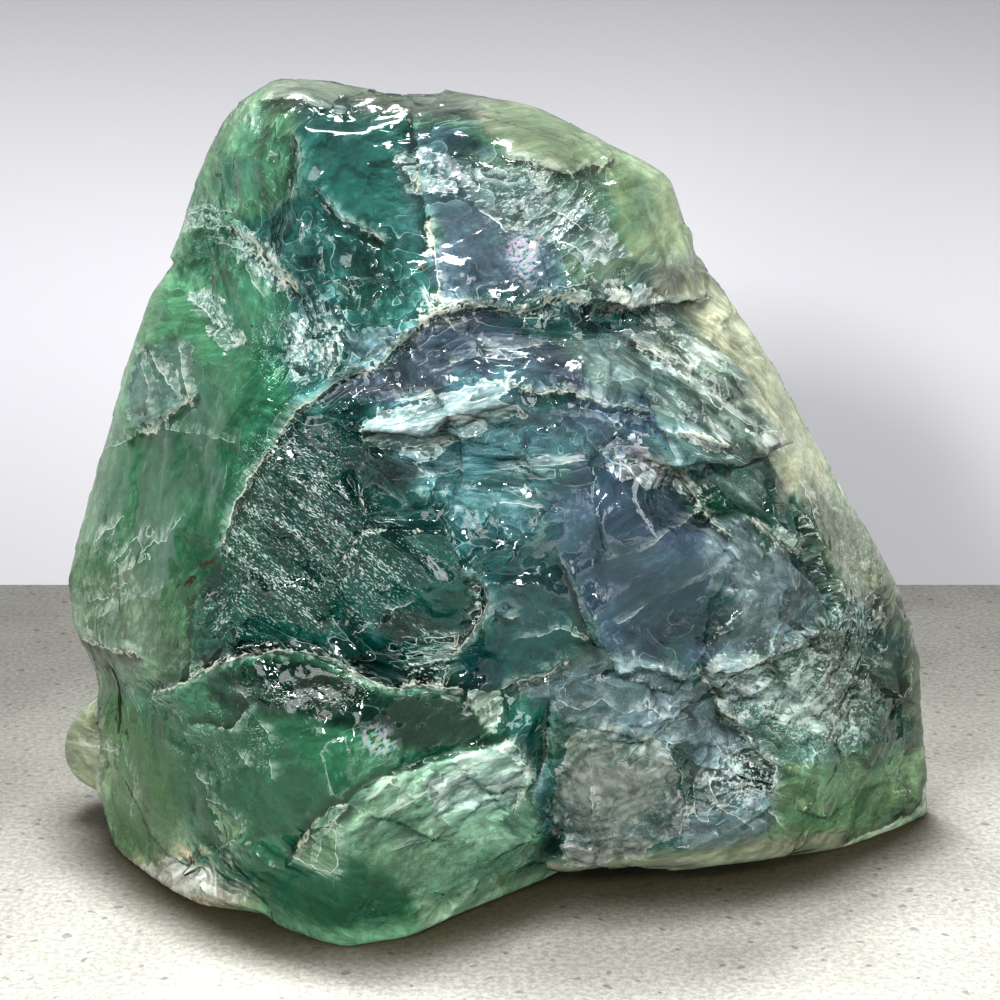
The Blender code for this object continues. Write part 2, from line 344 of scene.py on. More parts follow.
# Patches of colour inside the fields: colour, middle, half-widths, turn, strength, how milky.
ZONES = [
    # the left flank
    (LEAF, (170, 480), (120, 260), 12, 0.9, 0.45),
    (EMERALD, (215, 400), (60, 150), 14, 0.8, 0.25),
    (PALE, (110, 640), (80, 70), 20, 0.8, 0.6),
    (SPRING, (90, 590), (50, 120), 12, 0.6, 0.55),
    (EMERALD, (175, 545), (40, 70), 12, 0.5, 0.3),
    (SMOKE, (160, 390), (46, 66), -20, 0.65, 0.6),
    # the crown
    (EMERALD, (245, 170), (70, 60), -20, 0.9, 0.3),
    (DEEP_GREEN, (228, 262), (70, 40), 0, 0.85, 0.15),
    (PALE, (310, 92), (60, 22), 8, 0.9, 0.6),
    (POOL, (350, 155), (70, 60), 25, 0.95, 0.15),
    (TEAL, (340, 240), (80, 90), 35, 0.85, 0.25),
    (POOL, (430, 165), (50, 60), 0, 0.7, 0.3),
    (VIOLET, (480, 255), (80, 56), 10, 0.9, 0.55),
    (SMOKE, (480, 110), (120, 24), 8, 0.75, 0.6),
    (SMOKE, (540, 200), (90, 60), 15, 0.7, 0.5),
    (SPRING, (545, 135), (85, 36), 22, 0.9, 0.5),
    (LEAF, (600, 205), (60, 60), 20, 0.7, 0.4),
    (SPRING, (636, 205), (28, 60), -10, 0.95, 0.4),
    (PALE, (655, 210), (22, 80), -14, 0.6, 0.6),
    (SMOKE, (680, 275), (30, 26), 20, 0.7, 0.6),
    (PALE, (632, 298), (40, 16), 0, 0.7, 0.6),
    # the rough corner below the crown, on the left
    (TEAL, (310, 330), (60, 60), -30, 0.8, 0.3),
    (AQUA, (372, 345), (34, 26), -20, 0.8, 0.45),
    # the plate under the shelf
    (DUSK, (470, 345), (90, 40), -5, 0.95, 0.45),
    (VIOLET, (440, 335), (50, 24), -5, 0.6, 0.55),
    # painted shade: dark teal in the recess under the shelf
    (DEEP_TEAL, (570, 325), (60, 22), 0, 0.8, 0.25),
    (SMOKE, (640, 350), (80, 44), 18, 0.7, 0.45),
    (PALE, (740, 380), (56, 110), -28, 0.85, 0.6),
    (LEAF, (700, 350), (70, 40), 28, 0.4, 0.5),
    (DEEP_GREEN, (712, 452), (62, 34), 18, 0.7, 0.25),
    (PALE, (775, 440), (50, 22), 18, 0.8, 0.6),
    # the main broken face
    (TEAL, (440, 480), (150, 70), 0, 0.95, 0.2),
    (DEEP_TEAL, (320, 460), (110, 60), -15, 0.95, 0.05),
    (DUSK, (560, 410), (110, 34), 5, 0.85, 0.4),
    (DEEP_TEAL, (330, 570), (150, 90), 10, 0.95, 0.05),
    (TEAL, (500, 540), (90, 60), 0, 0.8, 0.2),
    (TEAL, (420, 590), (60, 30), 20, 0.7, 0.2),
    (VIOLET, (660, 520), (110, 56), 20, 0.95, 0.5),
    (DUSK, (640, 590), (90, 60), 0, 0.9, 0.35),
    (SMOKE, (530, 590), (36, 50), 0, 0.6, 0.35),
    (DEEP_TEAL, (710, 622), (60, 24), -10, 0.8, 0.2),
    (VIOLET, (740, 570), (80, 34), 25, 0.6, 0.5),
    (EMERALD, (540, 640), (60, 40), 0, 0.7, 0.2),
    (TEAL, (600, 680), (60, 40), 0, 0.6, 0.3),
    # the right side
    (SMOKE, (850, 540), (34, 60), -30, 0.8, 0.65),
    (SMOKE, (860, 620), (50, 50), 0, 0.6, 0.6),
    (EMERALD, (800, 710), (90, 60), 10, 0.7, 0.3),
    (DEEP_GREEN, (912, 660), (16, 70), -6, 0.9, 0.2),
    (PALE, (790, 690), (100, 40), 10, 0.35, 0.5),
    (LEAF, (860, 795), (70, 36), -8, 0.8, 0.45),
    # the foot
    (VIOLET, (650, 720), (60, 30), 0, 0.6, 0.45),
    (SMOKE, (610, 795), (76, 66), 0, 0.85, 0.45),
    (DEEP_GREEN, (755, 772), (30, 26), 0, 0.8, 0.15),
    (DEEP_GREEN, (682, 775), (16, 40), 0, 0.7, 0.15),
    (LEAF, (700, 845), (130, 20), -3, 0.7, 0.45),
    # the front lobe
    (EMERALD, (250, 760), (130, 90), 0, 0.9, 0.2),
    (DEEP_GREEN, (270, 690), (90, 28), -4, 0.85, 0.1),
    (DEEP_GREEN, (430, 712), (70, 30), 0, 0.9, 0.1),
    (LEAF, (160, 790), (60, 70), 10, 0.7, 0.4),
    (PALE, (190, 862), (80, 34), 12, 0.85, 0.6),
    (EMERALD, (340, 890), (110, 60), -10, 0.7, 0.3),
    (LEAF, (440, 860), (110, 50), -12, 0.8, 0.4),
    (MINT, (470, 785), (70, 34), -12, 0.8, 0.5),
    (DEEP_GREEN, (350, 815), (40, 12), -35, 0.8, 0.1),
    (CREAM, (80, 755), (36, 40), 0, 0.85, 0.65),
]

# Steps in the surface. Each has a line, its height, how far the step reaches, and how pale its edge
# is. The stone stands higher on the left of the way the line runs, or lower if height is negative.
LEDGES = {
    "shelf": ([(436, 311), (488, 307), (513, 311), (537, 307), (551, 300), (573, 298), (593, 304),
               (625, 307), (662, 303), (700, 298)], 1.1, 26, 0.95),
    "seam": ([(436, 309), (417, 324), (403, 342), (386, 362), (347, 375), (327, 388), (311, 399),
              (293, 415), (273, 437), (264, 455), (251, 477), (240, 502), (231, 520), (220, 544)],
             -0.8, 30, 0.85),
    "mid_edge": ([(520, 388), (551, 392), (595, 399), (618, 404), (649, 410)], 0.6, 24, 0.8),
    "right_arc": ([(650, 462), (679, 469), (688, 489), (710, 523), (733, 536)], 0.6, 22, 0.95),
    "right_arc_low": ([(748, 520), (775, 532), (802, 556), (811, 556)], 0.5, 18, 0.7),
    "lobe_rim": ([(153, 694), (175, 685), (193, 676), (215, 662), (240, 652), (273, 648), (298, 650),
                  (329, 659), (351, 669), (367, 676), (380, 688), (400, 689), (417, 683), (446, 686),
                  (462, 691)], -0.6, 22, 0.95),
    "white_arc": ([(466, 575), (484, 584), (489, 598), (484, 613), (470, 636), (457, 651)], 0.5, 20, 0.8),
    "foot_edge": ([(506, 685), (535, 674), (566, 662)], 0.5, 20, 0.85),
    "window_left": ([(551, 705), (546, 738), (542, 774), (533, 801)], 0.5, 18, 0.6),
    "right_low": ([(710, 676), (724, 696), (726, 703), (721, 712), (730, 725), (755, 732)], 0.5, 18, 0.9),
    "cap_edge": ([(264, 98), (302, 102), (342, 112)], 0.4, 18, 0.6),
    "crown_edge": ([(506, 157), (542, 162), (564, 173), (602, 166), (611, 159)], 0.4, 16, 0.6),
    "crown_seam": ([(415, 124), (419, 188), (428, 251)], 0.2, 12, 0.35),
    "crown_left": ([(297, 139), (298, 162), (296, 184)], 0.3, 14, 0.3),
    "crown_plate": ([(231, 224), (262, 252), (298, 291)], 0.5, 18, 0.6),
    "crown_dark": ([(320, 193), (338, 215), (380, 242)], 0.4, 16, 0.5),
    "left_low": ([(193, 598), (195, 629), (190, 671)], 0.3, 14, 0.3),
    "flank_foot": ([(83, 638), (112, 648), (141, 656)], 0.3, 16, 0.6),
    "flank_plate": ([(128, 436), (150, 420), (176, 408), (197, 396)], 0.4, 18, 0.3),
    "dome_left": ([(562, 562), (571, 589), (578, 611), (598, 649)], 0.35, 20, 0.35),
    "hook": ([(497, 611), (506, 618), (517, 616)], 0.2, 10, 0.6),
    "foot_line": ([(622, 674), (640, 667), (651, 671), (685, 678)], 0.3, 14, 0.6),
    "lobe_branch": ([(251, 705), (244, 712), (229, 729), (195, 725)], 0.2, 12, 0.55),
    "ridge": ([(291, 852), (329, 812), (385, 779), (470, 754), (506, 737)], -0.5, 22, 0.5),
    "rim_right": ([(846, 843), (873, 834), (907, 821), (922, 808), (927, 765)], -0.3, 14, 0.7),
    "trough": ([(667, 433), (700, 435), (727, 446)], 0.4, 16, 0.55),
    "wisp_high": ([(633, 339), (662, 352), (694, 370)], 0.2, 12, 0.4),
}

# Bright slivers, thin pale splinters with a painted highlight where they catch the light: the two ends, and
# how bright, 2 to 4.
SLIVERS = [
    ((497, 469), (586, 461), 4), ((520, 478), (560, 476), 2), ((502, 503), (537, 507), 3),
    ((424, 476), (463, 471), 3), ((376, 521), (402, 524), 3), ((387, 610), (412, 605), 4),
    ((642, 456), (690, 484), 4), ((604, 452), (642, 484), 3), ((396, 402), (432, 396), 3),
    ((420, 424), (480, 416), 3), ((404, 445), (452, 442), 3), ((436, 309), (424, 286), 3),
    ((436, 309), (462, 302), 3), ((436, 309), (452, 330), 2), ((436, 309), (414, 318), 2),
    ((428, 222), (440, 296), 2), ((186, 222), (232, 232), 3), ((232, 228), (264, 256), 4),
    ((250, 240), (300, 292), 3), ((190, 300), (222, 330), 3), ((206, 296), (236, 344), 3),
    ((246, 270), (262, 296), 2), ((150, 352), (172, 388), 2), ((176, 352), (190, 402), 2),
    ((83, 641), (140, 657), 3), ((92, 604), (124, 584), 2), ((132, 566), (182, 520), 2),
    ((110, 560), (150, 530), 2), ((96, 540), (122, 516), 2), ((401, 640), (456, 634), 3),
    ((408, 652), (452, 646), 3), ((414, 664), (444, 660), 2), ((236, 690), (252, 694), 2),
    ((262, 724), (270, 738), 2), ((268, 758), (276, 774), 2), ((200, 776), (212, 784), 2),
    ((240, 752), (248, 764), 2), ((86, 744), (112, 751), 3), ((330, 822), (346, 806), 2),
    ((372, 800), (390, 782), 3), ((398, 812), (470, 770), 3), ((430, 790), (502, 756), 3),
    ((450, 806), (516, 780), 2), ((524, 776), (514, 812), 3), ((593, 786), (591, 812), 2),
    ((648, 698), (648, 710), 2), ((851, 667), (876, 669), 3), ((716, 744), (744, 790), 3),
    ((742, 790), (778, 824), 3), ((712, 800), (750, 828), 2), ((802, 487), (818, 520), 3),
    ((634, 340), (692, 368), 2), ((700, 392), (760, 430), 2), ((560, 300), (600, 304), 2),
    ((470, 350), (540, 346), 2), ((450, 362), (520, 356), 2), ((480, 208), (506, 226), 2),
    ((396, 162), (420, 186), 2), ((544, 204), (580, 230), 2), ((560, 240), (604, 262), 2),
]

# Thin pale cracks: how pale, and the line.
CRACKS = [
    (0.75, [(573, 729), (616, 732), (656, 745), (671, 756), (687, 796), (680, 832)]),
    (0.90, [(668, 743), (690, 745), (697, 775), (694, 812), (706, 822), (716, 800), (712, 776)]),
    (0.95, [(712, 776), (724, 760), (731, 757), (753, 748), (776, 764), (772, 790), (745, 792)]),
    (0.80, [(745, 792), (735, 775), (731, 757)]),
    (0.90, [(740, 790), (760, 800), (778, 824)]),
    (0.85, [(697, 667), (712, 690), (724, 712), (742, 728), (748, 745)]),
    (0.80, [(600, 700), (624, 712), (650, 708), (668, 720), (690, 716)]),
    (0.70, [(560, 700), (580, 712), (600, 700)]),
    (0.85, [(236, 690), (251, 705), (244, 712), (229, 729)]),
    (0.75, [(208, 799), (225, 806), (246, 823), (235, 841), (220, 849)]),
    (0.90, [(291, 852), (310, 833), (331, 823), (338, 845), (336, 872), (313, 866), (291, 852)]),
    (0.80, [(313, 866), (322, 846), (331, 823)]),
    (0.80, [(372, 800), (386, 786), (402, 790), (398, 806), (384, 812)]),
    (0.80, [(426, 783), (442, 792), (438, 806), (424, 818)]),
    (0.90, [(506, 737), (513, 743), (526, 767), (520, 790), (515, 810)]),
    (0.85, [(186, 212), (205, 206), (229, 212)]),
    (0.80, [(190, 228), (215, 220), (232, 232)]),
    (0.80, [(215, 240), (240, 250), (262, 262), (280, 280)]),
    (0.60, [(297, 139), (299, 165), (294, 195)]),
    (0.75, [(320, 193), (338, 215), (360, 228), (380, 242)]),
    (0.70, [(392, 157), (415, 168), (440, 162), (462, 176)]),
    (0.60, [(128, 436), (150, 432), (172, 412), (197, 396)]),
    (0.60, [(140, 352), (150, 380), (146, 410)]),
    (0.65, [(106, 448), (128, 438), (160, 430), (200, 432), (235, 440)]),
    (0.65, [(83, 590), (110, 575), (150, 560)]),
    (0.65, [(88, 622), (130, 598), (165, 588)]),
    (0.70, [(760, 440), (790, 455), (812, 480), (835, 510)]),
    (0.65, [(700, 350), (730, 372), (760, 410), (780, 450)]),
    (0.65, [(640, 360), (680, 380), (720, 410)]),
    (0.70, [(520, 640), (560, 628), (584, 640)]),
    (0.70, [(828, 660), (860, 656), (884, 668)]),
    (0.70, [(760, 700), (800, 690), (832, 700)]),
    (0.60, [(560, 420), (600, 418), (640, 424)]),
    (0.60, [(610, 560), (660, 540), (700, 512)]),
    (0.55, [(620, 620), (680, 590), (740, 560)]),
    (0.60, [(150, 700), (176, 716), (190, 744)]),
    (0.60, [(118, 740), (134, 780), (130, 820)]),
    (0.70, [(395, 850), (440, 836), (480, 846), (520, 836)]),
]

# Chips: outline, depth, fill colour, how milky, how frosted.
CHIPS = {
    "mint": ([(363, 426), (379, 412), (404, 408), (426, 395), (466, 388), (493, 379), (506, 370),
              (520, 386), (504, 399), (529, 415), (520, 421), (486, 426), (475, 437), (459, 437),
              (448, 448), (433, 462), (417, 459), (395, 455), (379, 450), (361, 439)],
             0.7, MINT, 0.85, 0.5),
    "lilac": ([(598, 446), (618, 437), (636, 433), (649, 450), (638, 462), (627, 462), (616, 453)],
              -0.3, LILAC, 0.9, 0.6),
    "cream": ([(470, 691), (504, 689), (506, 712), (497, 729), (493, 734), (477, 723)],
              0.4, PALE, 0.7, 0.3),
    "pale": ([(426, 783), (470, 754), (506, 737), (513, 743), (526, 767), (520, 808), (450, 808),
              (439, 816), (428, 792)], 0.5, srgb(186, 204, 184), 0.75, 0.4),
    "window": ([(573, 729), (616, 732), (656, 745), (671, 756), (687, 796), (680, 832), (645, 850),
                (636, 857), (569, 863), (562, 841), (546, 814)], 0.4, srgb(182, 186, 172), 0.55, 0.25),
    "foot": ([(491, 875), (533, 860), (552, 870), (529, 886), (502, 899)], 0.5, SPRING, 0.6, 0.3),
    "net": ([(291, 852), (331, 823), (338, 845), (336, 872), (313, 866)], 0.15, SPRING, 0.5, 0.4),
    "oval": ([(326, 286), (340, 280), (356, 288), (352, 300), (334, 302)], 0.15, AQUA, 0.6, 0.4),
    "arc": ([(208, 799), (246, 823), (235, 841), (220, 849)], 0.3, SPRING, 0.5, 0.3),
    "scale": ([(444, 502), (470, 493), (502, 496), (494, 514), (468, 523), (446, 518)],
              0.25, srgb(110, 160, 156), 0.45, 0.35),
    "crown_plate": ([(231, 226), (250, 234), (270, 250), (302, 288), (288, 298), (262, 278), (240, 262)],
                    0.15, srgb(132, 166, 148), 0.5, 0.6),
    "left_plate": ([(186, 296), (206, 288), (228, 310), (242, 342), (222, 352), (204, 330)],
                   0.15, srgb(132, 166, 148), 0.5, 0.6),
    "veil": ([(128, 384), (140, 352), (170, 340), (194, 350), (198, 392), (172, 412), (150, 434),
              (130, 430)], 0.2, srgb(112, 146, 134), 0.6, 0.25),
    "top_plate": ([(390, 162), (412, 152), (444, 156), (464, 176), (440, 198), (408, 190)],
                  0.1, srgb(140, 162, 158), 0.5, 0.6),
    "crown_sheet": ([(462, 168), (506, 174), (560, 188), (604, 215), (628, 252), (592, 264), (540, 236),
                     (500, 216), (470, 196)], 0.2, srgb(136, 158, 148), 0.5, 0.5),
    "rough_patch": ([(282, 320), (310, 300), (346, 306), (352, 340), (330, 374), (296, 382), (284, 350)],
                    0.2, srgb(116, 156, 144), 0.45, 0.55),
    "blue_patch": ([(350, 332), (402, 325), (400, 350), (372, 368), (345, 362)],
                   0.2, srgb(134, 168, 168), 0.6, 0.2),
    "shelf_cream": ([(600, 291), (640, 286), (662, 296), (656, 308), (614, 306)],
                    -0.2, CREAM, 0.7, 0.5),
    "wisp": ([(633, 339), (665, 343), (700, 362), (690, 376), (656, 366)], 0.15, PALE, 0.6, 0.5),
    "yellow_wisp": ([(665, 430), (700, 431), (728, 445), (718, 451), (690, 445)],
                    -0.15, CREAM, 0.7, 0.3),
    "yellow_wisp_low": ([(745, 430), (790, 431), (810, 449), (780, 451)], -0.15, CREAM, 0.7, 0.3),
    "arc_sheet": ([(604, 470), (640, 461), (679, 468), (702, 492), (690, 502), (664, 488), (630, 479)],
                  -0.2, LILAC, 0.6, 0.7),
    "arc_low": ([(744, 518), (790, 528), (813, 552), (792, 554), (765, 538)], -0.15, PALE, 0.6, 0.6),
    "pool_left": ([(668, 743), (695, 746), (696, 812), (678, 800)], 0.3, DEEP_GREEN, 0.15, 0.0),
    "pool_right": ([(731, 757), (753, 748), (776, 764), (772, 790), (745, 792)],
                   0.3, DEEP_GREEN, 0.15, 0.0),
    "dark_wedge": ([(383, 702), (430, 693), (468, 698), (493, 735), (450, 748), (400, 738)],
                   0.2, DEEP_GREEN, 0.35, 0.0),
    "foot_cream": ([(139, 866), (170, 856), (204, 868), (252, 888), (240, 904), (190, 897), (150, 886)],
                   0.15, CREAM, 0.7, 0.4),
    "right_sheet": ([(764, 694), (800, 676), (840, 688), (856, 722), (822, 738), (785, 724)],
                    0.15, PALE, 0.5, 0.7),
    "frosted": ([(697, 667), (715, 657), (742, 660), (762, 672), (757, 700), (742, 728), (724, 712),
                 (712, 690)], 0.4, srgb(172, 188, 182), 0.7, 0.75),
}

# Frosted patches: middle, half-widths, turn, strength.
FROSTED = [
    ((240, 110), (16, 18), 0, 0.7),
    ((205, 222), (34, 20), 15, 0.75),
    ((262, 256), (54, 24), 50, 0.85),
    ((212, 320), (34, 22), 50, 0.7),
    ((425, 176), (40, 24), 10, 0.6),
    ((470, 205), (40, 28), 15, 0.6),
    ((560, 225), (64, 48), 15, 0.45),
    ((830, 775), (60, 40), 0, 0.35),
    ((436, 309), (26, 22), -40, 0.9),
    ((310, 345), (44, 44), -40, 0.75),
    ((165, 385), (36, 44), -20, 0.4),
    ((400, 330), (30, 20), 0, 0.3),
    ((530, 462), (40, 8), -4, 0.75),
    ((440, 477), (24, 6), -4, 0.6),
    ((520, 506), (18, 6), 0, 0.7),
    ((664, 352), (40, 14), 25, 0.5),
    ((745, 380), (40, 90), -28, 0.35),
    ((700, 486), (46, 14), 40, 0.75),
    ((640, 470), (40, 10), 28, 0.6),
    ((780, 540), (40, 14), 25, 0.5),
    ((810, 500), (14, 30), -25, 0.6),
    ((862, 622), (46, 40), 0, 0.6),
    ((810, 690), (110, 80), 15, 0.95),
    ((740, 780), (60, 54), 0, 0.85),
    ((650, 770), (16, 50), -15, 0.5),
    ((425, 655), (40, 24), 10, 0.7),
    ((330, 625), (120, 30), 5, 0.35),
    ((476, 600), (16, 34), 20, 0.7),
    ((245, 745), (44, 50), -20, 0.35),
    ((120, 620), (40, 50), 20, 0.45),
    ((470, 780), (50, 24), -14, 0.5),
    ((300, 900), (60, 24), 30, 0.3),
    ((200, 880), (50, 16), 10, 0.5),
    ((560, 745), (20, 60), 10, 0.4),
    ((610, 690), (60, 20), -10, 0.45),
]

# Finely broken patches where glints are painted: middle, half-widths, turn, strength.
PAINTED_GLINT_PATCHES = [
    ((320, 560), (130, 100), 20, 0.95),
    ((300, 470), (90, 60), -20, 0.8),
    ((250, 610), (60, 60), 0, 0.7),
    ((430, 560), (60, 60), 0, 0.35),
    ((430, 640), (50, 26), 0, 0.7),
    ((290, 345), (50, 50), -40, 0.6),
    ((540, 210), (100, 60), 15, 0.6),
    ((240, 110), (20, 24), 0, 0.7),
    ((700, 350), (110, 50), 25, 0.4),
    ((860, 540), (30, 60), -25, 0.6),
    ((800, 720), (110, 80), 10, 0.55),
    ((300, 690), (120, 20), 0, 0.6),
    ((230, 740), (80, 60), 0, 0.4),
    ((600, 310), (90, 24), 0, 0.5),
]

# The run of the fine striae: middle, half-widths, the way they run in degrees clockwise as seen, and
# how marked they are.
STRIAE = [
    ((250, 250), (110, 80), 50, 0.6),
    ((205, 222), (50, 30), 8, 0.8),
    ((150, 550), (90, 110), -38, 0.8),
    ((330, 560), (150, 120), 42, 0.55),
    ((290, 440), (80, 50), 20, 0.6),
    ((480, 475), (120, 34), 2, 1.0),
    ((500, 345), (90, 36), -4, 0.8),
    ((440, 420), (80, 34), -12, 0.8),
    ((720, 380), (110, 80), 28, 0.8),
    ((700, 500), (90, 60), 32, 0.7),
    ((650, 560), (80, 60), -32, 0.35),
    ((430, 655), (50, 26), -8, 1.0),
    ((280, 685), (110, 26), -4, 0.9),
    ((430, 800), (100, 50), -16, 0.7),
    ((330, 890), (90, 40), 30, 0.5),
    ((800, 700), (110, 80), 14, 0.5),
]

# Rust: crystals and grains in cracks. Middle, half-widths, turn, strength.
RUSTED = [
    ((320, 193), (9, 4), 60, 1.0),
    ((375, 96), (8, 5), 0, 0.8),
    ((422, 266), (6, 5), 0, 0.9),
    ((583, 294), (6, 4), 20, 1.0),
    ((602, 146), (8, 4), 10, 0.5),
    ((564, 551), (9, 8), 30, 1.0),
    ((562, 533), (5, 4), 0, 0.9),
    ((251, 329), (5, 7), 20, 0.9),
    ((247, 343), (4, 5), 0, 0.8),
    ((227, 446), (4, 5), 0, 0.8),
    ((237, 417), (4, 5), 0, 0.6),
    ((213, 530), (4, 14), 12, 1.0),
    ((205, 560), (4, 14), 25, 1.0),
    ((193, 588), (4, 12), 35, 0.9),
    ((128, 683), (26, 4), 6, 0.8),
    ((202, 868), (9, 14), 40, 0.7),
    ((139, 714), (4, 4), 0, 0.6),
    ((524, 790), (4, 18), 14, 0.6),
    ((759, 858), (4, 3), 0, 0.8),
]

# Thin films that split the light, with painted rainbow glints: middle, half-widths, turn, strength.
IRIDESCENT = [
    ((520, 256), (30, 34), 0, 0.8),
    ((378, 735), (26, 24), 0, 0.9),
    ((620, 330), (8, 6), 0, 0.7),
    ((768, 664), (22, 10), 10, 0.6),
]

# Painted glow, as of bright light inside the stone: middle, half-widths, turn, strength.
PAINTED_GLOWS = [
    ((422, 590), (20, 8), 30, 0.9),
    ((402, 551), (12, 10), 0, 0.7),
    ((415, 612), (16, 12), 0, 0.5),
    ((372, 345), (26, 14), -20, 0.5),
    ((636, 200), (16, 44), -10, 0.6),
    ((205, 405), (20, 60), 14, 0.5),
    ((330, 800), (20, 10), -30, 0.4),
    ((230, 175), (30, 30), 0, 0.4),
]

# Quiet, smooth stretches with little relief: middle, half-widths, turn, strength.
SMOOTH = [
    ((160, 480), (120, 250), 12, 0.95),
    ((240, 350), (60, 100), 12, 0.8),
    ((640, 560), (110, 90), 10, 0.7),
    ((250, 770), (150, 100), 0, 0.85),
    ((340, 890), (130, 60), -10, 0.85),
    ((450, 880), (120, 40), -20, 0.6),
    ((430, 715), (70, 26), 0, 0.8),
    ((640, 210), (60, 80), 0, 0.95),
    ((360, 170), (90, 70), 20, 0.8),
    ((370, 96), (140, 18), 6, 0.8),
    ((790, 430), (34, 120), -27, 0.9),
    ((705, 310), (30, 60), -30, 0.8),
    ((848, 530), (24, 70), -30, 0.7),
    ((620, 700), (80, 30), 0, 0.5),
    ((730, 840), (160, 26), -5, 0.7),
    ((610, 795), (70, 60), 0, 0.8),
    ((860, 795), (60, 36), -8, 0.7),
    ((545, 135), (90, 40), 22, 0.9),
    ((480, 245), (70, 50), 10, 0.9),
    ((240, 170), (40, 50), 0, 0.6),
    ((540, 620), (60, 50), 0, 0.7),
    ((150, 790), (90, 100), 0, 0.95),
    ((700, 845), (120, 16), 0, 0.7),
]


# ---------------------------------------------------------------- the surface's fields

WAVER_WIDE = 7.0  # pixels by which drawn lines and borders waver, in wide bends and in fine ones
WAVER_FINE = 3.0
WAVER_ZONES = 26.0  # pixels by which patches of colour waver
FAR_OUTSIDE = -12.0  # pixels outside a chip's outline where nothing of the chip is left
FAR_AWAY = 20.0  # pixels from a drawn line where nothing of the line is left


class Face:
    """The fields of the stone's surface at a set of points, in millimetres.

    Each drawn feature is worked out only for the points seen within its reach, because there are
    many features and most points are far from any one of them.
    """

    def __init__(self, points, normals):
        self.points = points
        self.lattice = Lattice(7)
        self.other = Lattice(23)
        self.pixels = (to_pixels(points)
                       + WAVER_WIDE * self.lattice.drift(points, 6.0, 2, 31, 2)
                       + WAVER_FINE * self.other.drift(points, 1.6, 2, 57, 2))
        self.zone_pixels = self.pixels + WAVER_ZONES * self.other.drift(points, 15.0, 3, 43, 2)
        self.warp = self.other.drift(points, 4.0, 2, 71, 3)
        to_eye = EYE - points
        to_eye /= np.linalg.norm(to_eye, axis=1, keepdims=True)
        facing = np.einsum("ij,ij->i", normals, to_eye)
        self.seen = smoothstep(0.0, 0.22, facing) * smoothstep(52.0, 38.0, points[:, 1] + 13)
        self.hidden = 1 - self.seen
        # the foot of the stone keeps its flat underside
        self.free = smoothstep(0.3, 2.0, points[:, 2])
        self.front = np.flatnonzero(self.seen > 0.01)
        self.ledges = [self.along(line, 2.5 * reach) for line, _, reach, _ in LEDGES.values()]
        self.chips = [self.inside(outline) for outline, *_ in CHIPS.values()]

    def within(self, pixels, low, high):
        """The points seen whose pixels lie in a box."""
        own = pixels[self.front]
        return self.front[np.all((own > low) & (own < high), axis=1)]

    def soft_spot(self, pixels, centre, radii, turn):
        """The points seen near a soft ellipse, and how deep in it each lies, 0 to 1."""
        reach = 1.2 * max(radii)
        near = self.within(pixels, np.array(centre) - reach, np.array(centre) + reach)
        return near, spot(pixels[near], centre, radii, turn)

    def along(self, line, reach):
        """The points near a line, how far off it and on which side each lies, and 0 past its ends."""
        near = self.within(self.pixels, np.min(line, axis=0) - reach, np.max(line, axis=0) + reach)
        gap, side = distance_to_line(self.pixels[near], line)
        return near, gap, side, smoothstep(8.0, 0.0, beyond_ends(self.pixels[near], line))

    def inside(self, outline, margin=12.0):
        """The points in or near an outline, and how deep in it each lies, in pixels."""
        low, high = np.min(outline, axis=0) - margin, np.max(outline, axis=0) + margin
        near = self.within(self.pixels, low, high)
        return near, depth_in_outline(self.pixels[near], outline)

    def rim(self):
        """How near a point is to the stone's worn, pale rim."""
        near, inner = self.inside(OUTLINE, 30.0)
        total = np.zeros(len(self.points))
        total[near] = 1 - smoothstep(2.0, 24.0, inner + 8 * self.warp[near, 0])
        return total * self.seen

    def spots(self, table):
        """The strongest of a table's soft ellipses at each point."""
        total = np.zeros(len(self.points))
        for centre, radii, turn, strength in table:
            near, share = self.soft_spot(self.zone_pixels, centre, radii, turn)
            total[near] = np.maximum(total[near], strength * share)
        return total * self.seen

    def halo(self):
        """Frost that lies along the drawn ledges, thinning out away from them."""
        total = np.zeros(len(self.points))
        for (near, gap, side, along), (_, _, reach, pale) in zip(self.ledges, LEDGES.values()):
            width = np.where(side > 0, reach, 0.45 * reach)
            total[near] = np.maximum(total[near], along * pale * np.exp(-gap / (0.6 * width)))
        return 0.8 * total * self.seen

    def patches(self, size, share, seed):
        """Soft patches by rule, for where nothing is placed in the tables."""
        clouds = self.lattice.clouds(self.points + 91.7 * seed, size, 3)
        return smoothstep(0.35 - share, 0.75 - share, clouds)

    def quiet(self):
        return np.maximum(self.spots(SMOOTH), self.hidden * self.patches(34.0, 0.2, 3))

    def frost(self):
        return np.maximum(self.spots(FROSTED), self.hidden * 0.75 * self.patches(16.0, 0.22, 5))

    # where glints are painted on the finely broken face
    def sparkle(self):
        return np.maximum(self.spots(PAINTED_GLINT_PATCHES), self.hidden * 0.6 * self.patches(22.0, 0.2, 9))

    def rust(self):
        grains = smoothstep(0.62, 0.72, self.other.clouds(self.points, 3.0, 2))
        return np.maximum(self.spots(RUSTED), self.hidden * 0.8 * grains * self.patches(30.0, 0.0, 11))

    def facets(self, size, tilt, seed):
        """A relief of small flat breaks, as cleavage leaves them: each leans its own way."""
        drift = self.other.drift(self.points, size, 1, 13, 3)
        name, away = self.lattice.cells(self.points + drift * size * 0.3 + 7.7 * seed, size)
        leans = np.random.default_rng(seed).normal(size=(256, 3)) * tilt
        return np.einsum("ij,ij->i", away, leans[name])

    def terraces(self):
        """A relief of thin flakes that lie one on another, each 1 high."""
        return 3.2 * self.lattice.clouds(self.points + 2.5 * self.warp, 11.0, 3) % 1.0

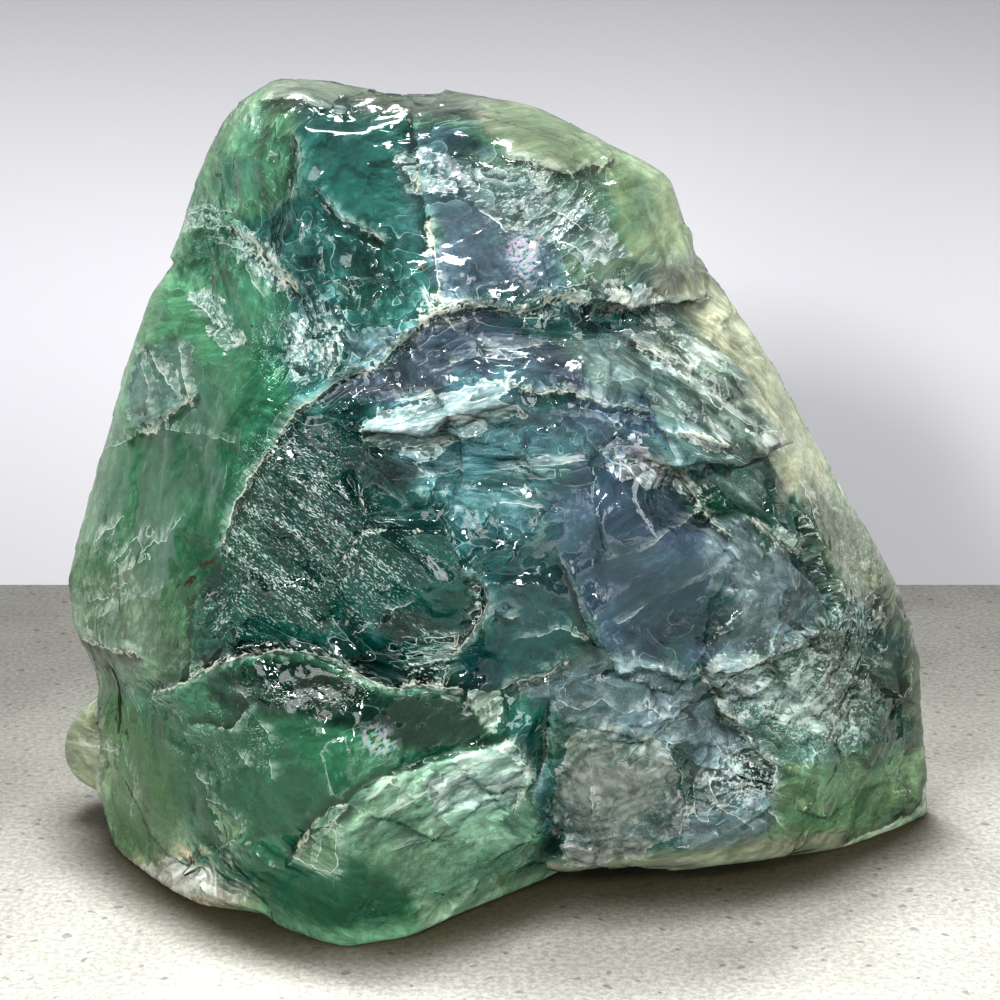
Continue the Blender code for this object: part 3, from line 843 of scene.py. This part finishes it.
    def relief(self):
        """How far the surface moves out along its normal."""
        rough = 1 - 0.85 * self.quiet()
        height = rough * (self.facets(15.0, 0.09, 1) + self.facets(6.5, 0.07, 2))
        height += 0.05 * rough * self.terraces()
        height += 0.25 * self.lattice.clouds(self.points, 14.0, 2)
        height += 0.02 * rough * self.other.clouds(self.points, 2.2, 2)
        for (near, gap, side, along), (_, step, reach, _) in zip(self.ledges, LEDGES.values()):
            rise = 1.3 * along * step * side * np.exp(-gap / reach) * smoothstep(0, 3.0, gap)
            height[near] += self.seen[near] * rise * smoothstep(2.5 * reach, 1.5 * reach, gap)
        for (near, inner), (_, depth, *_) in zip(self.chips, CHIPS.values()):
            ripple = 1 + 0.15 * np.sin(inner * 0.7)
            height[near] -= self.seen[near] * depth * smoothstep(-1.0, 6.0, inner) * ripple
        return height * self.free

    def wild_colours(self):
        """(tint, milk) by rule, as they are where nothing is placed in the tables."""
        cloud = self.lattice.clouds(self.points + 3, 30.0, 3)[:, None]
        other = self.other.clouds(self.points - 9, 24.0, 3)[:, None]
        tint = mix(EMERALD, TEAL, smoothstep(-0.5, 0.5, cloud))
        tint = mix(tint, VIOLET, 0.7 * smoothstep(0.15, 0.6, other))
        tint = mix(tint, SPRING, 0.7 * smoothstep(0.2, 0.6, -other))
        return tint, 0.35 + 0.15 * cloud[:, 0]

    def colours(self):
        """(tint, milk): the stone's own colour, and how little light passes it."""
        tint, milk = self.wild_colours()
        # soft colours change from one small plate of the surface to the next, less so where it is quiet
        _, away = self.lattice.cells(self.points + 1.5 * self.warp, 6.0)
        plate = to_pixels(self.points - away) + 9.0 * self.warp[:, :2]
        placed = mix(plate, self.pixels, np.maximum(self.quiet(), 0.35)[:, None])
        placed += self.zone_pixels - self.pixels
        for colour, milky, soft, outline in FIELDS.values():
            where = placed if soft > 11 else self.pixels
            near = self.within(where, np.min(outline, axis=0) - soft, np.max(outline, axis=0) + soft)
            share = smoothstep(-soft, soft, depth_in_outline(where[near], outline)) * self.seen[near]
            tint[near] = mix(tint[near], colour, share[:, None])
            milk[near] = mix(milk[near], milky, share)
        for colour, centre, radii, turn, strength, milky in ZONES:
            near, share = self.soft_spot(placed, centre, radii, turn)
            share = 0.4 * strength * share * self.seen[near]
            tint[near] = mix(tint[near], colour, share[:, None])
            milk[near] = mix(milk[near], milky, share)
        return tint, milk

    def chip_fields(self):
        """(depth inside the nearest chip's outline in pixels, its colour, (milky, frosted, 0))."""
        depth = np.full(len(self.points), FAR_OUTSIDE)
        colour = np.zeros((len(self.points), 3))
        looks = np.zeros((len(self.points), 3))
        for (near, inner), (_, _, fill, milky, frosted) in zip(self.chips, CHIPS.values()):
            inner = np.where(self.seen[near] > 0.3, inner, FAR_OUTSIDE)
            wins = inner > depth[near]
            depth[near[wins]] = inner[wins]
            colour[near[wins]] = fill
            looks[near[wins]] = milky, frosted, 0.0
        return np.minimum(depth, 12.0), colour, looks

    def drawn_lines(self):
        """Each ledge, crack and sliver: what along() says of it, its step and its paleness."""
        found = [(*drawn, step, pale)
                 for drawn, (_, step, _, pale) in zip(self.ledges, LEDGES.values())]
        found += [(*self.along(line, FAR_AWAY), 0, pale) for pale, line in CRACKS]
        found += [(*self.along(ends, FAR_AWAY), 0, 0.8 + 0.1 * width) for *ends, width in SLIVERS]
        return found

    def line_fields(self):
        """What the nearest drawn line is like.

        (distance to it in pixels, below zero on its lower side; its paleness; 1 near a real step)
        """
        gap_to = np.full(len(self.points), FAR_AWAY)
        signed = np.full(len(self.points), FAR_AWAY)
        pale_by = np.zeros(len(self.points))
        stands = np.zeros(len(self.points))
        for near, gap, side, along, step, pale in self.drawn_lines():
            wins = gap < gap_to[near]
            gap_to[near[wins]] = gap[wins]
            signed[near[wins]] = (gap * side)[wins] * (-1 if step < 0 else 1)
            pale_here = along * pale * np.clip(1.7 - gap / 9.0, 0.0, 1.0)
            pale_by[near] = np.maximum(pale_by[near], pale_here)
            step_here = along * (step != 0) * np.clip(1.7 - gap / 12.0, 0.0, 1.0)
            stands[near] = np.maximum(stands[near], step_here)
        return signed, pale_by * self.seen, stands * self.seen

    def striae(self):
        """(heading, strength): the way the fine striae run, a unit vector, and how marked they are.

        The heading is one and the same all over a patch, because noise drawn out along it would
        jump wherever it turned.
        """
        spread = np.random.default_rng(4).normal(size=(256, 3)) * (1.0, 1.0, 0.6)
        name, _ = self.lattice.cells(self.points + 4 * self.warp, 19.0)
        heading = spread[name]
        strength = np.full(len(self.points), 0.45)
        most = np.full(len(self.points), 0.12)
        for centre, radii, turn, amount in STRIAE:
            near, share = self.soft_spot(self.pixels, centre, radii, turn)
            share = share * self.seen[near]
            angle = math.radians(turn)
            wins = near[share > most[near]]
            heading[wins] = math.cos(angle), 0.0, -math.sin(angle)
            most[near] = np.maximum(most[near], share)
            strength[near] = mix(strength[near], amount, share)
        return heading / np.linalg.norm(heading, axis=1, keepdims=True), strength


# ---------------------------------------------------------------- the skin's mesh

FIRST_GRAIN = 0.5  # millimetres between points before the surface is thinned
MOST_TRIANGLES = 196000


def replace_by_result(piece):
    """Gives a piece the mesh that its modifiers make of it, and takes the modifiers off."""
    graph = bpy.context.evaluated_depsgraph_get()
    mesh = bpy.data.meshes.new_from_object(piece.evaluated_get(graph))
    piece.modifiers.clear()
    piece.data = mesh


def read(rows, name):
    """A vector of each row of a mesh, as an array."""
    values = np.empty(len(rows) * 3)
    rows.foreach_get(name, values)
    return values.reshape(-1, 3)


def points_and_normals(mesh):
    return read(mesh.vertices, "co") / MM, read(mesh.vertex_normals, "vector")


def convexity(mesh, points, normals, rounds):
    """How far each point stands out from its surroundings; more rounds take wider surroundings."""
    ends = np.empty(len(mesh.edges) * 2, np.int32)
    mesh.edges.foreach_get("vertices", ends)
    first, second = ends.reshape(-1, 2).T
    count = len(points)
    links = np.bincount(ends, minlength=count)
    calm = points.copy()
    for _ in range(rounds):
        for axis in range(3):
            held = calm[:, axis].copy()
            total = np.bincount(first, held[second], count) + np.bincount(second, held[first], count)
            calm[:, axis] = total / links
    return np.einsum("ij,ij->i", points - calm, normals)


def carve(mesh):
    """Moves the mesh's points by the relief, less along the stone's own worn edges."""
    points, normals = points_and_normals(mesh)
    rim = smoothstep(0.3, 1.3, convexity(mesh, points, normals, 180))
    moved = points + normals * (Face(points, normals).relief() * (1 - 0.75 * rim))[:, None]
    moved[:, 2] = np.maximum(moved[:, 2], 0.0)
    mesh.vertices.foreach_set("co", (moved * MM).ravel())
    mesh.update()


def store(mesh, name, values, domain="POINT"):
    values = np.asarray(values, dtype=np.float32)
    if values.ndim == 1:
        mesh.attributes.new(name, "FLOAT", domain).data.foreach_set("value", values)
        return
    mesh.attributes.new(name, "FLOAT_VECTOR", domain).data.foreach_set("vector", values.ravel())


def painted_colours(mesh, face, pale):
    """(tint, milk) with a painted glow inside the stone and its pale rims put in."""
    tint, milk = face.colours()
    painted_glow = face.spots(PAINTED_GLOWS)
    # painted glow: a mint tint where light seems to shine inside the stone
    tint = mix(tint, MINT * np.array([0.7, 1.0, 0.9]), 0.6 * painted_glow[:, None])
    tint = mix(tint, RIM, (pale * mix(0.85, 0.35, face.seen))[:, None])
    milk = mix(milk, 0.75, pale)
    # light crosses clear stone's skin twice, so there it carries the root of the colour
    tint = tint ** mix(0.7, 1.0, smoothstep(0.0, 0.8, milk))[:, None]
    return tint, milk * mix(0.7, 1.0, smoothstep(0.2, 0.6, milk))


def paint(mesh):
    """Leaves on the mesh the fields that the crystal's material reads."""
    points, normals = points_and_normals(mesh)
    face = Face(points, normals)
    wide = convexity(mesh, points, normals, 110)
    narrow = convexity(mesh, points, normals, 3)
    pale = face.hidden * smoothstep(0.5, 1.7, wide + 0.35 * face.warp[:, 0])
    pale = np.maximum(pale, face.rim())
    quiet = face.quiet()
    _, striated = face.striae()
    tint, milk = painted_colours(mesh, face, pale)
    chip_depth, chip_tint, chip_looks = face.chip_fields()
    ledge, ledge_pale, step = face.line_fields()
    fields = {
        "tint": tint,
        "milk": milk,
        "jitter": face.other.fractal(points, 2.0, 0.7, 1),
        "cloud": face.other.fractal(points, 9.0, 0.65, 2),
        "frost": np.maximum(face.frost(), face.halo()) * (1 - 0.7 * quiet) * (1 - 0.6 * pale),
        "chip_depth": chip_depth,
        "chip_tint": chip_tint,
        "chip_looks": chip_looks,
        "ledge": ledge,
        "step": step,
        "ledge_pale": ledge_pale,
        "edge": 0.62 * smoothstep(0.16, 0.40, narrow),
        "sparkle": face.sparkle(),
        "rust": face.rust(),
        "film": face.spots(IRIDESCENT),
        "quiet": np.maximum(quiet, 0.75 * pale),
        "striated": striated * (1 - 0.8 * quiet) * (1 - 0.5 * pale),
    }
    for name, values in fields.items():
        store(mesh, name, values)
    middles = read(mesh.polygons, "center") / MM
    heading, _ = Face(middles, read(mesh.polygon_normals, "vector")).striae()
    store(mesh, "grain", heading, "FACE")


def build_skin():
    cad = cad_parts["fluorite"]
    skin = bpy.data.objects.new("fluorite_skin", cad.data.copy())
    bpy.context.scene.collection.objects.link(skin)
    resurface = skin.modifiers.new("resurface", "REMESH")
    resurface.mode = "VOXEL"
    resurface.voxel_size = FIRST_GRAIN * MM
    soften = skin.modifiers.new("soften", "SMOOTH")
    soften.factor = 0.5
    soften.iterations = 8
    replace_by_result(skin)
    carve(skin.data)
    triangles = sum(len(face.vertices) - 2 for face in skin.data.polygons)
    thin = skin.modifiers.new("thin", "DECIMATE")
    thin.ratio = min(1.0, MOST_TRIANGLES / triangles)
    replace_by_result(skin)
    skin.data.shade_smooth()
    paint(skin.data)
    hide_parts("fluorite")
    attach(skin, "root")
    return skin


# ---------------------------------------------------------------- materials


class Signal:
    """The output of a shader node, which adds, subtracts and multiplies as a number does."""

    def __init__(self, nodes, socket):
        self.nodes = nodes
        self.socket = socket

    def __add__(self, other):
        return self.nodes.math("ADD", self, other)

    def __sub__(self, other):
        return self.nodes.math("SUBTRACT", self, other)

    def __rsub__(self, other):
        return self.nodes.math("SUBTRACT", other, self)

    def __mul__(self, other):
        return self.nodes.math("MULTIPLY", self, other)

    __radd__ = __add__
    __rmul__ = __mul__

    def clamped(self):
        """The same signal, kept between 0 and 1."""
        self.socket.node.use_clamp = True
        return self


class Nodes:
    """A new material and short calls for building its node tree from numbers, colours and signals."""

    def __init__(self, name):
        self.material = bpy.data.materials.new(name)
        self.material.use_nodes = True
        self.tree = self.material.node_tree
        self.shader = self.tree.nodes["Principled BSDF"]

    def put(self, socket, value):
        if isinstance(value, Signal):
            self.tree.links.new(value.socket, socket)
            return
        if isinstance(value, np.ndarray):
            value = (*value.tolist(), 1.0)[:len(socket.default_value)]
        socket.default_value = value

    def add(self, kind, inputs, output=0, **settings):
        """One output of a new node. Its inputs are given by name or by place."""
        node = self.tree.nodes.new(kind)
        for name, value in settings.items():
            setattr(node, name, value)
        for name, value in inputs.items():
            self.put(node.inputs[name], value)
        return Signal(self, node.outputs[output])

    def set(self, **values):
        """Sets inputs of the material's own shader."""
        for name, value in values.items():
            self.put(self.shader.inputs[name.replace("_", " ")], value)

    def math(self, operation, a, b=0.0):
        return self.add("ShaderNodeMath", {0: a, 1: b}, operation=operation)

    def largest(self, first, *others):
        for other in others:
            first = self.math("MAXIMUM", first, other)
        return first

    def vector(self, operation, a, b, output="Vector"):
        return self.add("ShaderNodeVectorMath", {0: a, 1: b}, output, operation=operation)

    def scaled(self, vector, times):
        inputs = {0: vector, "Scale": times}
        return self.add("ShaderNodeVectorMath", inputs, operation="SCALE")

    def parts(self, vector):
        """The three numbers of a vector."""
        first = self.add("ShaderNodeSeparateXYZ", {0: vector})
        return [Signal(self, socket) for socket in first.socket.node.outputs]

    def attribute(self, name, output="Fac"):
        return self.add("ShaderNodeAttribute", {}, output, attribute_name=name)

    def place(self):
        """Where a point is, in metres from its object's middle."""
        return self.add("ShaderNodeTexCoord", {}, "Object")

    def ramp(self, value, low, high, to_low=0.0, to_high=1.0):
        """Runs smoothly from to_low to to_high while the value goes from low to high."""
        inputs = dict(enumerate((value, low, high, to_low, to_high)))
        return self.add("ShaderNodeMapRange", inputs, interpolation_type="SMOOTHSTEP")

    def blend(self, a, b, share):
        """The colour a where share is 0, and b where it is 1."""
        return self.add("ShaderNodeMix", {0: share, 6: a, 7: b}, 2, data_type="RGBA")

    def noise(self, place, scale, detail, rough=0.55):
        inputs = {"Vector": place, "Scale": scale, "Detail": detail, "Roughness": rough}
        return self.add("ShaderNodeTexNoise", inputs)

    def share(self, amount, factor):
        """factor where amount is 1, and 1 where amount is 0."""
        return 1.0 + amount * (factor - 1.0)


RAGGED_WAY = (0.72, 0.43, -0.55)  # the way in which small jitter pushes the noises
FACE_ON = (0.2, 0.95, 0.25)  # about straight into the broken face
FLUORITE_IOR = 1.434
INSIDE_COLOUR = (0.25, 0.68, 0.64, 1.0)
ABSORPTION = 30.0  # per metre
HAZE = (srgb(170, 198, 188), srgb(236, 240, 232))
CRACK_WHITE = srgb(212, 226, 214)
OCHRE = srgb(188, 180, 146)
PLATE_BLUES = (0.82, 0.92, 1.12)  # how the tint changes towards the bluest plates


class Crystal(Nodes):
    """The stone's material. Each step builds on what the steps before it have left in self."""

    def __init__(self):
        super().__init__("fluorite_crystal")
        self.read_fields()
        self.add_noises()
        self.add_chips()
        self.add_body()
        self.add_frost()
        self.add_lines()
        self.add_rust_and_film()
        self.set_surface()
        self.set_relief()
        self.set_inside()

    def read_fields(self):
        """The fields that paint() left on the mesh."""
        for name in ("milk", "jitter", "cloud", "frost", "ledge", "ledge_pale", "step", "edge", "sparkle",
                     "rust", "film", "striated"):
            setattr(self, name, self.attribute(name))
        self.tint = self.attribute("tint", "Vector")
        self.grain = self.attribute("grain", "Vector")
        self.rough = (1.0 - self.attribute("quiet")).clamped()

    def drawn_out(self, place, times):
        """Coordinates in which noise is longer by this many times along the striae."""
        along = self.vector("DOT_PRODUCT", place, self.grain, "Value")
        back = self.scaled(self.grain, along * (1 / times - 1))
        return self.vector("ADD", place, back)

    def add_noises(self):
        """Noise at several sizes, per millimetre; all of it runs with the striae."""
        place = self.scaled(self.place(), 1 / MM)
        ragged = self.vector("ADD", place, self.scaled(RAGGED_WAY, self.jitter * 3.0))
        self.flow = self.noise(self.drawn_out(ragged, 3.0), 0.17, 1.0)
        self.grains = self.noise(self.drawn_out(place, 2.6), 2.2, 2.0, 0.62)
        self.feather = self.noise(self.drawn_out(ragged, 9.0), 0.8, 3.0, 0.74)
        self.hackle = self.noise(self.drawn_out(place, 3.5), 7.0, 1.0)
        cells = {"Vector": self.drawn_out(ragged, 1.8), "Scale": 0.13}
        self.plate = self.parts(self.add("ShaderNodeTexVoronoi", cells, "Color"))[0]
        # thin flakes lie one on another: each ends where the stack passes a whole number
        sideways = self.vector("CROSS_PRODUCT", self.grain, FACE_ON)
        across = self.vector("DOT_PRODUCT", place, sideways, "Value")
        self.stack = self.flow * 7.0 + across * 0.33
        self.flake = self.math("FRACT", self.stack)
        self.sheet = self.ramp(self.flake, 0.1, 1.0)

    def add_chips(self):
        """Fills the chips, whose outlines are crisp and ragged."""
        self.torn = (self.jitter - 0.5) * 26.0 + (self.feather - 0.5) * 16.0
        self.chip_depth = self.attribute("chip_depth") + self.torn
        in_chip = self.ramp(self.chip_depth, -0.4, 0.4)
        filled = in_chip * self.ramp(self.feather + self.flow, 0.75, 1.1, 0.4, 0.95)
        milky, frosty, _ = self.parts(self.attribute("chip_looks", "Vector"))
        self.tint = self.blend(self.tint, self.attribute("chip_tint", "Vector"), filled)
        self.milk = self.milk + filled * (milky - self.milk)
        self.frost = self.largest(self.frost, in_chip * frosty)
        self.broken = self.rough * self.ramp(self.frost, 0.0, 0.6, 0.5, 1.0)

    def add_body(self):
        """The stone's own colour, with its clouds, its plates and the flakes that lie one on another, and
        painted shade and highlight along the ledges.
        """
        light = self.share(self.rough * 0.65 + 0.35, self.ramp(self.cloud, 0.32, 0.68, 0.58, 1.42))
        light *= self.share(self.broken, self.ramp(self.plate, 0.0, 1.0, 0.62, 1.4))
        light *= self.share(self.broken, self.ramp(self.sheet, 0.0, 1.0, 0.66, 1.35))
        light *= self.share(self.striated, self.ramp(self.feather, 0.36, 0.64, 0.6, 1.4))
        # painted shade on a ledge's lower side, and a thin painted highlight along its upper one
        below = self.ramp(self.ledge, -16.0, -3.0) * self.ramp(self.ledge, 1.0, -1.0)
        above = self.ramp(self.ledge, 12.0, 2.0) * self.ramp(self.ledge, -1.0, 1.0)
        light *= self.share(below * self.step, 0.42)
        light *= self.share(above * self.step, 1.3)
        bluer = self.vector("MULTIPLY", self.tint, PLATE_BLUES)
        self.body = self.scaled(self.blend(self.tint, bluer, self.plate * self.broken), light)

    def add_frost(self):
        """White things: sheets of frost with one crisp edge, clustered grains, streaks, dashes of painted
        glint and lips.
        """
        veil = self.math("POWER", self.sheet, 1.6) * self.ramp(self.feather, 0.3, 0.62, 0.25, 1.0)
        veil *= self.ramp(self.frost, 0.08, 0.9, 0.0, 0.7)
        beside = self.ramp(self.ledge, 15.0, 1.0) * self.ramp(self.ledge, -0.6, 0.6)
        beside = beside * self.ledge_pale * self.ramp(self.feather, 0.35, 0.65, 0.1, 0.6)
        cluster = self.frost * (self.plate * 0.10 + self.sheet * 0.08)
        self.frosted = self.ramp(self.grains + cluster, 0.59, 0.67) * self.ramp(self.frost, 0.2, 0.7)
        streak = self.ramp(self.feather, 0.58, 0.70) * (self.striated * 0.55)
        # painted glints: short bright dashes where the finely broken surface would catch the light
        painted_hackle_glints = self.hackle + (self.feather - 0.5) * 0.45 + (self.cloud - 0.5) * 0.25
        painted_hackle_glints = self.ramp(painted_hackle_glints + self.sparkle * 0.09, 0.66, 0.73)
        painted_hackle_glints *= self.ramp(self.sparkle, 0.1, 0.5, 0.0, 0.85)
        lip = self.ramp(self.flake, 0.94, 0.98) * self.ramp(self.plate, 0.25, 0.5) * self.broken
        self.white = self.largest(self.frosted, veil, beside, painted_hackle_glints, lip, streak).clamped()

    def add_lines(self):
        """Pale lines: the small worn edges, the drawn ledges and cracks, and the chips' outlines."""
        edges = self.ramp(self.edge + self.grains * 0.6, 0.86, 1.0)
        width = self.ramp(self.grains, 0.35, 0.65, 0.5, 2.6) * self.ramp(self.step, 0.0, 1.0, 0.55, 1.0)
        strayed = self.torn * self.ramp(self.step, 0.0, 1.0, 0.2, 0.35)
        line = self.ramp(self.math("ABSOLUTE", self.ledge + strayed), width, 0.15)
        # a line comes and goes on its way
        here = self.flow + self.feather * 1.4
        line *= self.ramp(self.ledge_pale + here, 1.55, 2.25)
        chip_line = self.ramp(self.math("ABSOLUTE", self.chip_depth - 0.8), 1.0, 0.2)
        chip_line *= self.ramp(self.milk + here, 1.5, 2.1, 0.0, 0.7)
        self.worn = self.largest(edges, line, chip_line)

    def add_rust_and_film(self):
        """Grains of rust, and the painted rainbow glints of thin films that split the light."""
        self.rusty = self.ramp(self.rust * 0.5 + self.grains, 0.82, 0.88) * self.ramp(self.rust, 0.1, 0.3)
        self.painted_film_glints = self.ramp(self.grains + self.film * 0.15, 0.48, 0.66) * self.film
        hue = {0: self.math("FRACT", self.grains * 5.0), 1: 0.5, 2: 0.9}
        self.film_glint_colour = self.add("ShaderNodeCombineColor", hue, mode="HSV")

    def set_surface(self):
        """Lays the colours one over another, and says how much light passes and how it is spread."""
        hazy = self.blend(*HAZE, self.ramp(self.feather, 0.4, 0.62))
        colour = self.blend(self.body, hazy, self.white * 0.9)
        pale_line = self.blend(CRACK_WHITE, CREAM, self.largest(self.step, self.edge))
        colour = self.blend(colour, pale_line, self.worn * 0.85)
        colour = self.blend(colour, self.film_glint_colour, self.painted_film_glints * 0.8)
        rust_colour = self.blend(OCHRE, RUST, self.ramp(self.grains + self.rust, 0.95, 1.1))
        colour = self.blend(colour, rust_colour, self.rusty)
        solid = self.largest(self.white, self.worn, self.rusty, self.painted_film_glints).clamped()
        clear = (1.0 - self.milk * self.ramp(self.feather, 0.3, 0.7, 0.8, 1.2)).clamped()
        roughness = 0.08 + self.largest(self.worn, self.frosted) * 0.3 + self.rusty * 0.3
        self.set(Base_Color=colour, Roughness=roughness, IOR=FLUORITE_IOR,
                 Transmission_Weight=clear * (1.0 - solid * 0.85))

    def set_relief(self):
        """Relief too fine for the mesh, in millimetres: the flakes, and finer ones on them."""
        splinter = self.math("FRACT", self.stack * 3.3)
        height = (self.flake * 0.24 + splinter * 0.07) * self.rough
        self.set(Normal=self.add("ShaderNodeBump", {"Height": height, "Strength": 1.0, "Distance": MM}))

    def set_inside(self):
        """The stone swallows light on its way through, red the most."""
        self.material.cycles.homogeneous_volume = True
        inputs = {"Color": INSIDE_COLOUR, "Density": ABSORPTION}
        inside = self.add("ShaderNodeVolumeAbsorption", inputs)
        self.put(self.tree.nodes["Material Output"].inputs["Volume"], inside)


# ---------------------------------------------------------------- the stage

STAGE_SIDE = 3.0  # metres
WALL_BEHIND = 139.0
WALL_LOW, WALL_HIGH = -1.46, -1.34  # metres from the wall's middle, between which painted shade darkens it upwards
WALL_RIGHT = 0.14  # metres to the right, where the painted shade of the wall's upper right corner is full
FLOOR_FAR, FLOOR_NEAR = 1500.0, 1270.0  # from the floor's middle, between which painted light brightens it forwards
NEAR_WALL = 1440.0


def wall_material():
    """A smooth grey wall with painted light and shade: lighter low down and darkest at its upper right. Its
    back isn't drawn.
    """
    n = Nodes("pale_wall")
    across, height, _ = n.parts(n.place())
    # painted shade: darker upwards, and darkest at the upper right corner
    painted_fade_up = n.ramp(height, WALL_LOW, WALL_HIGH)
    shade = n.blend(srgb(234, 234, 239), srgb(122, 122, 125), painted_fade_up)
    corner = n.ramp(across, 0.0, WALL_RIGHT, 0.0, 0.35) * painted_fade_up
    behind = n.add("ShaderNodeNewGeometry", {}, "Backfacing")
    n.set(Base_Color=n.blend(shade, srgb(110, 111, 114), corner), Roughness=0.9, Alpha=1.0 - behind)
    return n.material


def floor_material():
    """Pale cast concrete: fine sand, faint clouds and a few pits, with painted light brighter to the front,
    painted shade to the sides, and a painted shadow where the stone meets it.
    """
    n = Nodes("pale_floor")
    place = n.scaled(n.place(), 1 / MM)
    across, depth, _ = n.parts(place)
    clouds = n.ramp(n.noise(place, 0.03, 2.0, 0.65), 0.3, 0.7, 0.86, 1.06)
    sand = n.ramp(n.noise(place, 1.1, 2.0, 0.8), 0.3, 0.7, 0.75, 1.17)
    pits = n.ramp(n.noise(place, 0.55, 0.0), 0.26, 0.21)
    shade = clouds * sand * (1.0 - pits * 0.4)
    # painted light and shade: darker far back and to the sides, brighter towards the front
    shade *= n.ramp(depth, FLOOR_FAR, FLOOR_NEAR, 0.6, 1.62)
    shade *= n.ramp(across, -90.0, -20.0, 0.72, 1.0)
    shade *= n.ramp(across, 40.0, 80.0, 1.0, 0.88)
    # a painted contact shadow, darkest where the stone closes the floor in
    open_sky = n.add("ShaderNodeAmbientOcclusion", {"Distance": 11 * MM}, "AO", samples=2)
    # the painted contact shadow leaves the seam under the wall undarkened
    clear_of_painted_shadow = n.largest(n.ramp(open_sky, 0.66, 0.80), n.ramp(depth, NEAR_WALL, NEAR_WALL + 1.0))
    bare, painted_shadow_colour = (n.scaled(colour, shade) for colour in (srgb(198, 197, 188), srgb(70, 66, 46)))
    n.set(Base_Color=n.blend(painted_shadow_colour, bare, clear_of_painted_shadow), Roughness=0.8)
    return n.material


def add_plane(name, location, rotation, material):
    bpy.ops.mesh.primitive_plane_add(size=STAGE_SIDE, location=location, rotation=rotation)
    plane = bpy.context.object
    plane.name = name
    plane.data.materials.append(material)
    return plane


def add_stage():
    wall_y = WALL_BEHIND * MM
    half = STAGE_SIDE / 2
    floor = add_plane("floor", (0, wall_y - half, 0), (0, 0, 0), floor_material())
    wall = add_plane("wall", (0, wall_y, half), (math.pi / 2, 0, 0), wall_material())


# Soft lights, in metres: where each stands, what it is aimed at, its width and height, its power.
# The last stands for the light that the pale floor throws back up.
LIGHTS = {
    "top": ((-0.10, 0.10, 0.72), (0, 0, 0.05), (0.24, 0.24), 5.2),
    "key": ((-0.28, -0.62, 0.36), (0, 0, 0.05), (0.10, 0.10), 2.5),
    "window": ((-0.50, -0.62, 0.20), (0, 0, 0.05), (0.20, 0.45), 1.9),
    "fill": ((0.52, -0.50, 0.28), (0, 0, 0.05), (0.25, 0.45), 3.0),
    "floor_bounce": ((0.0, -0.30, 0.01), (0, 0, 0.03), (0.50, 0.06), 0.2),
}
WORLD_LIGHT = 0.30


def add_light():
    world = bpy.data.worlds.new("soft")
    world.use_nodes = True
    background = world.node_tree.nodes["Background"]
    background.inputs["Color"].default_value = (1, 1, 1, 1)
    background.inputs["Strength"].default_value = WORLD_LIGHT
    bpy.context.scene.world = world
    for name, (place, aim, size, power) in LIGHTS.items():
        data = bpy.data.lights.new(name, "AREA")
        data.shape = "RECTANGLE"
        data.size, data.size_y = size
        data.energy = power
        light = bpy.data.objects.new(name, data)
        light.location = place
        light.rotation_euler = (Vector(aim) - Vector(place)).to_track_quat("-Z", "Y").to_euler()
        bpy.context.scene.collection.objects.link(light)


def set_view():
    """A plain view, and few bounces, because the crystal's many layers take long to shade."""
    scene = bpy.context.scene
    scene.view_settings.view_transform = "Standard"
    scene.view_settings.look = "Medium High Contrast"
    scene.cycles.use_light_tree = False
    scene.cycles.caustics_reflective = False
    scene.cycles.caustics_refractive = False
    scene.cycles.max_bounces = 2
    scene.cycles.diffuse_bounces = 0
    scene.cycles.glossy_bounces = 1
    scene.cycles.transmission_bounces = 2


add_camera()
add_stage()
add_light()
stone = build_skin()
stone.data.materials.clear()
stone.data.materials.append(Crystal().material)
set_view()
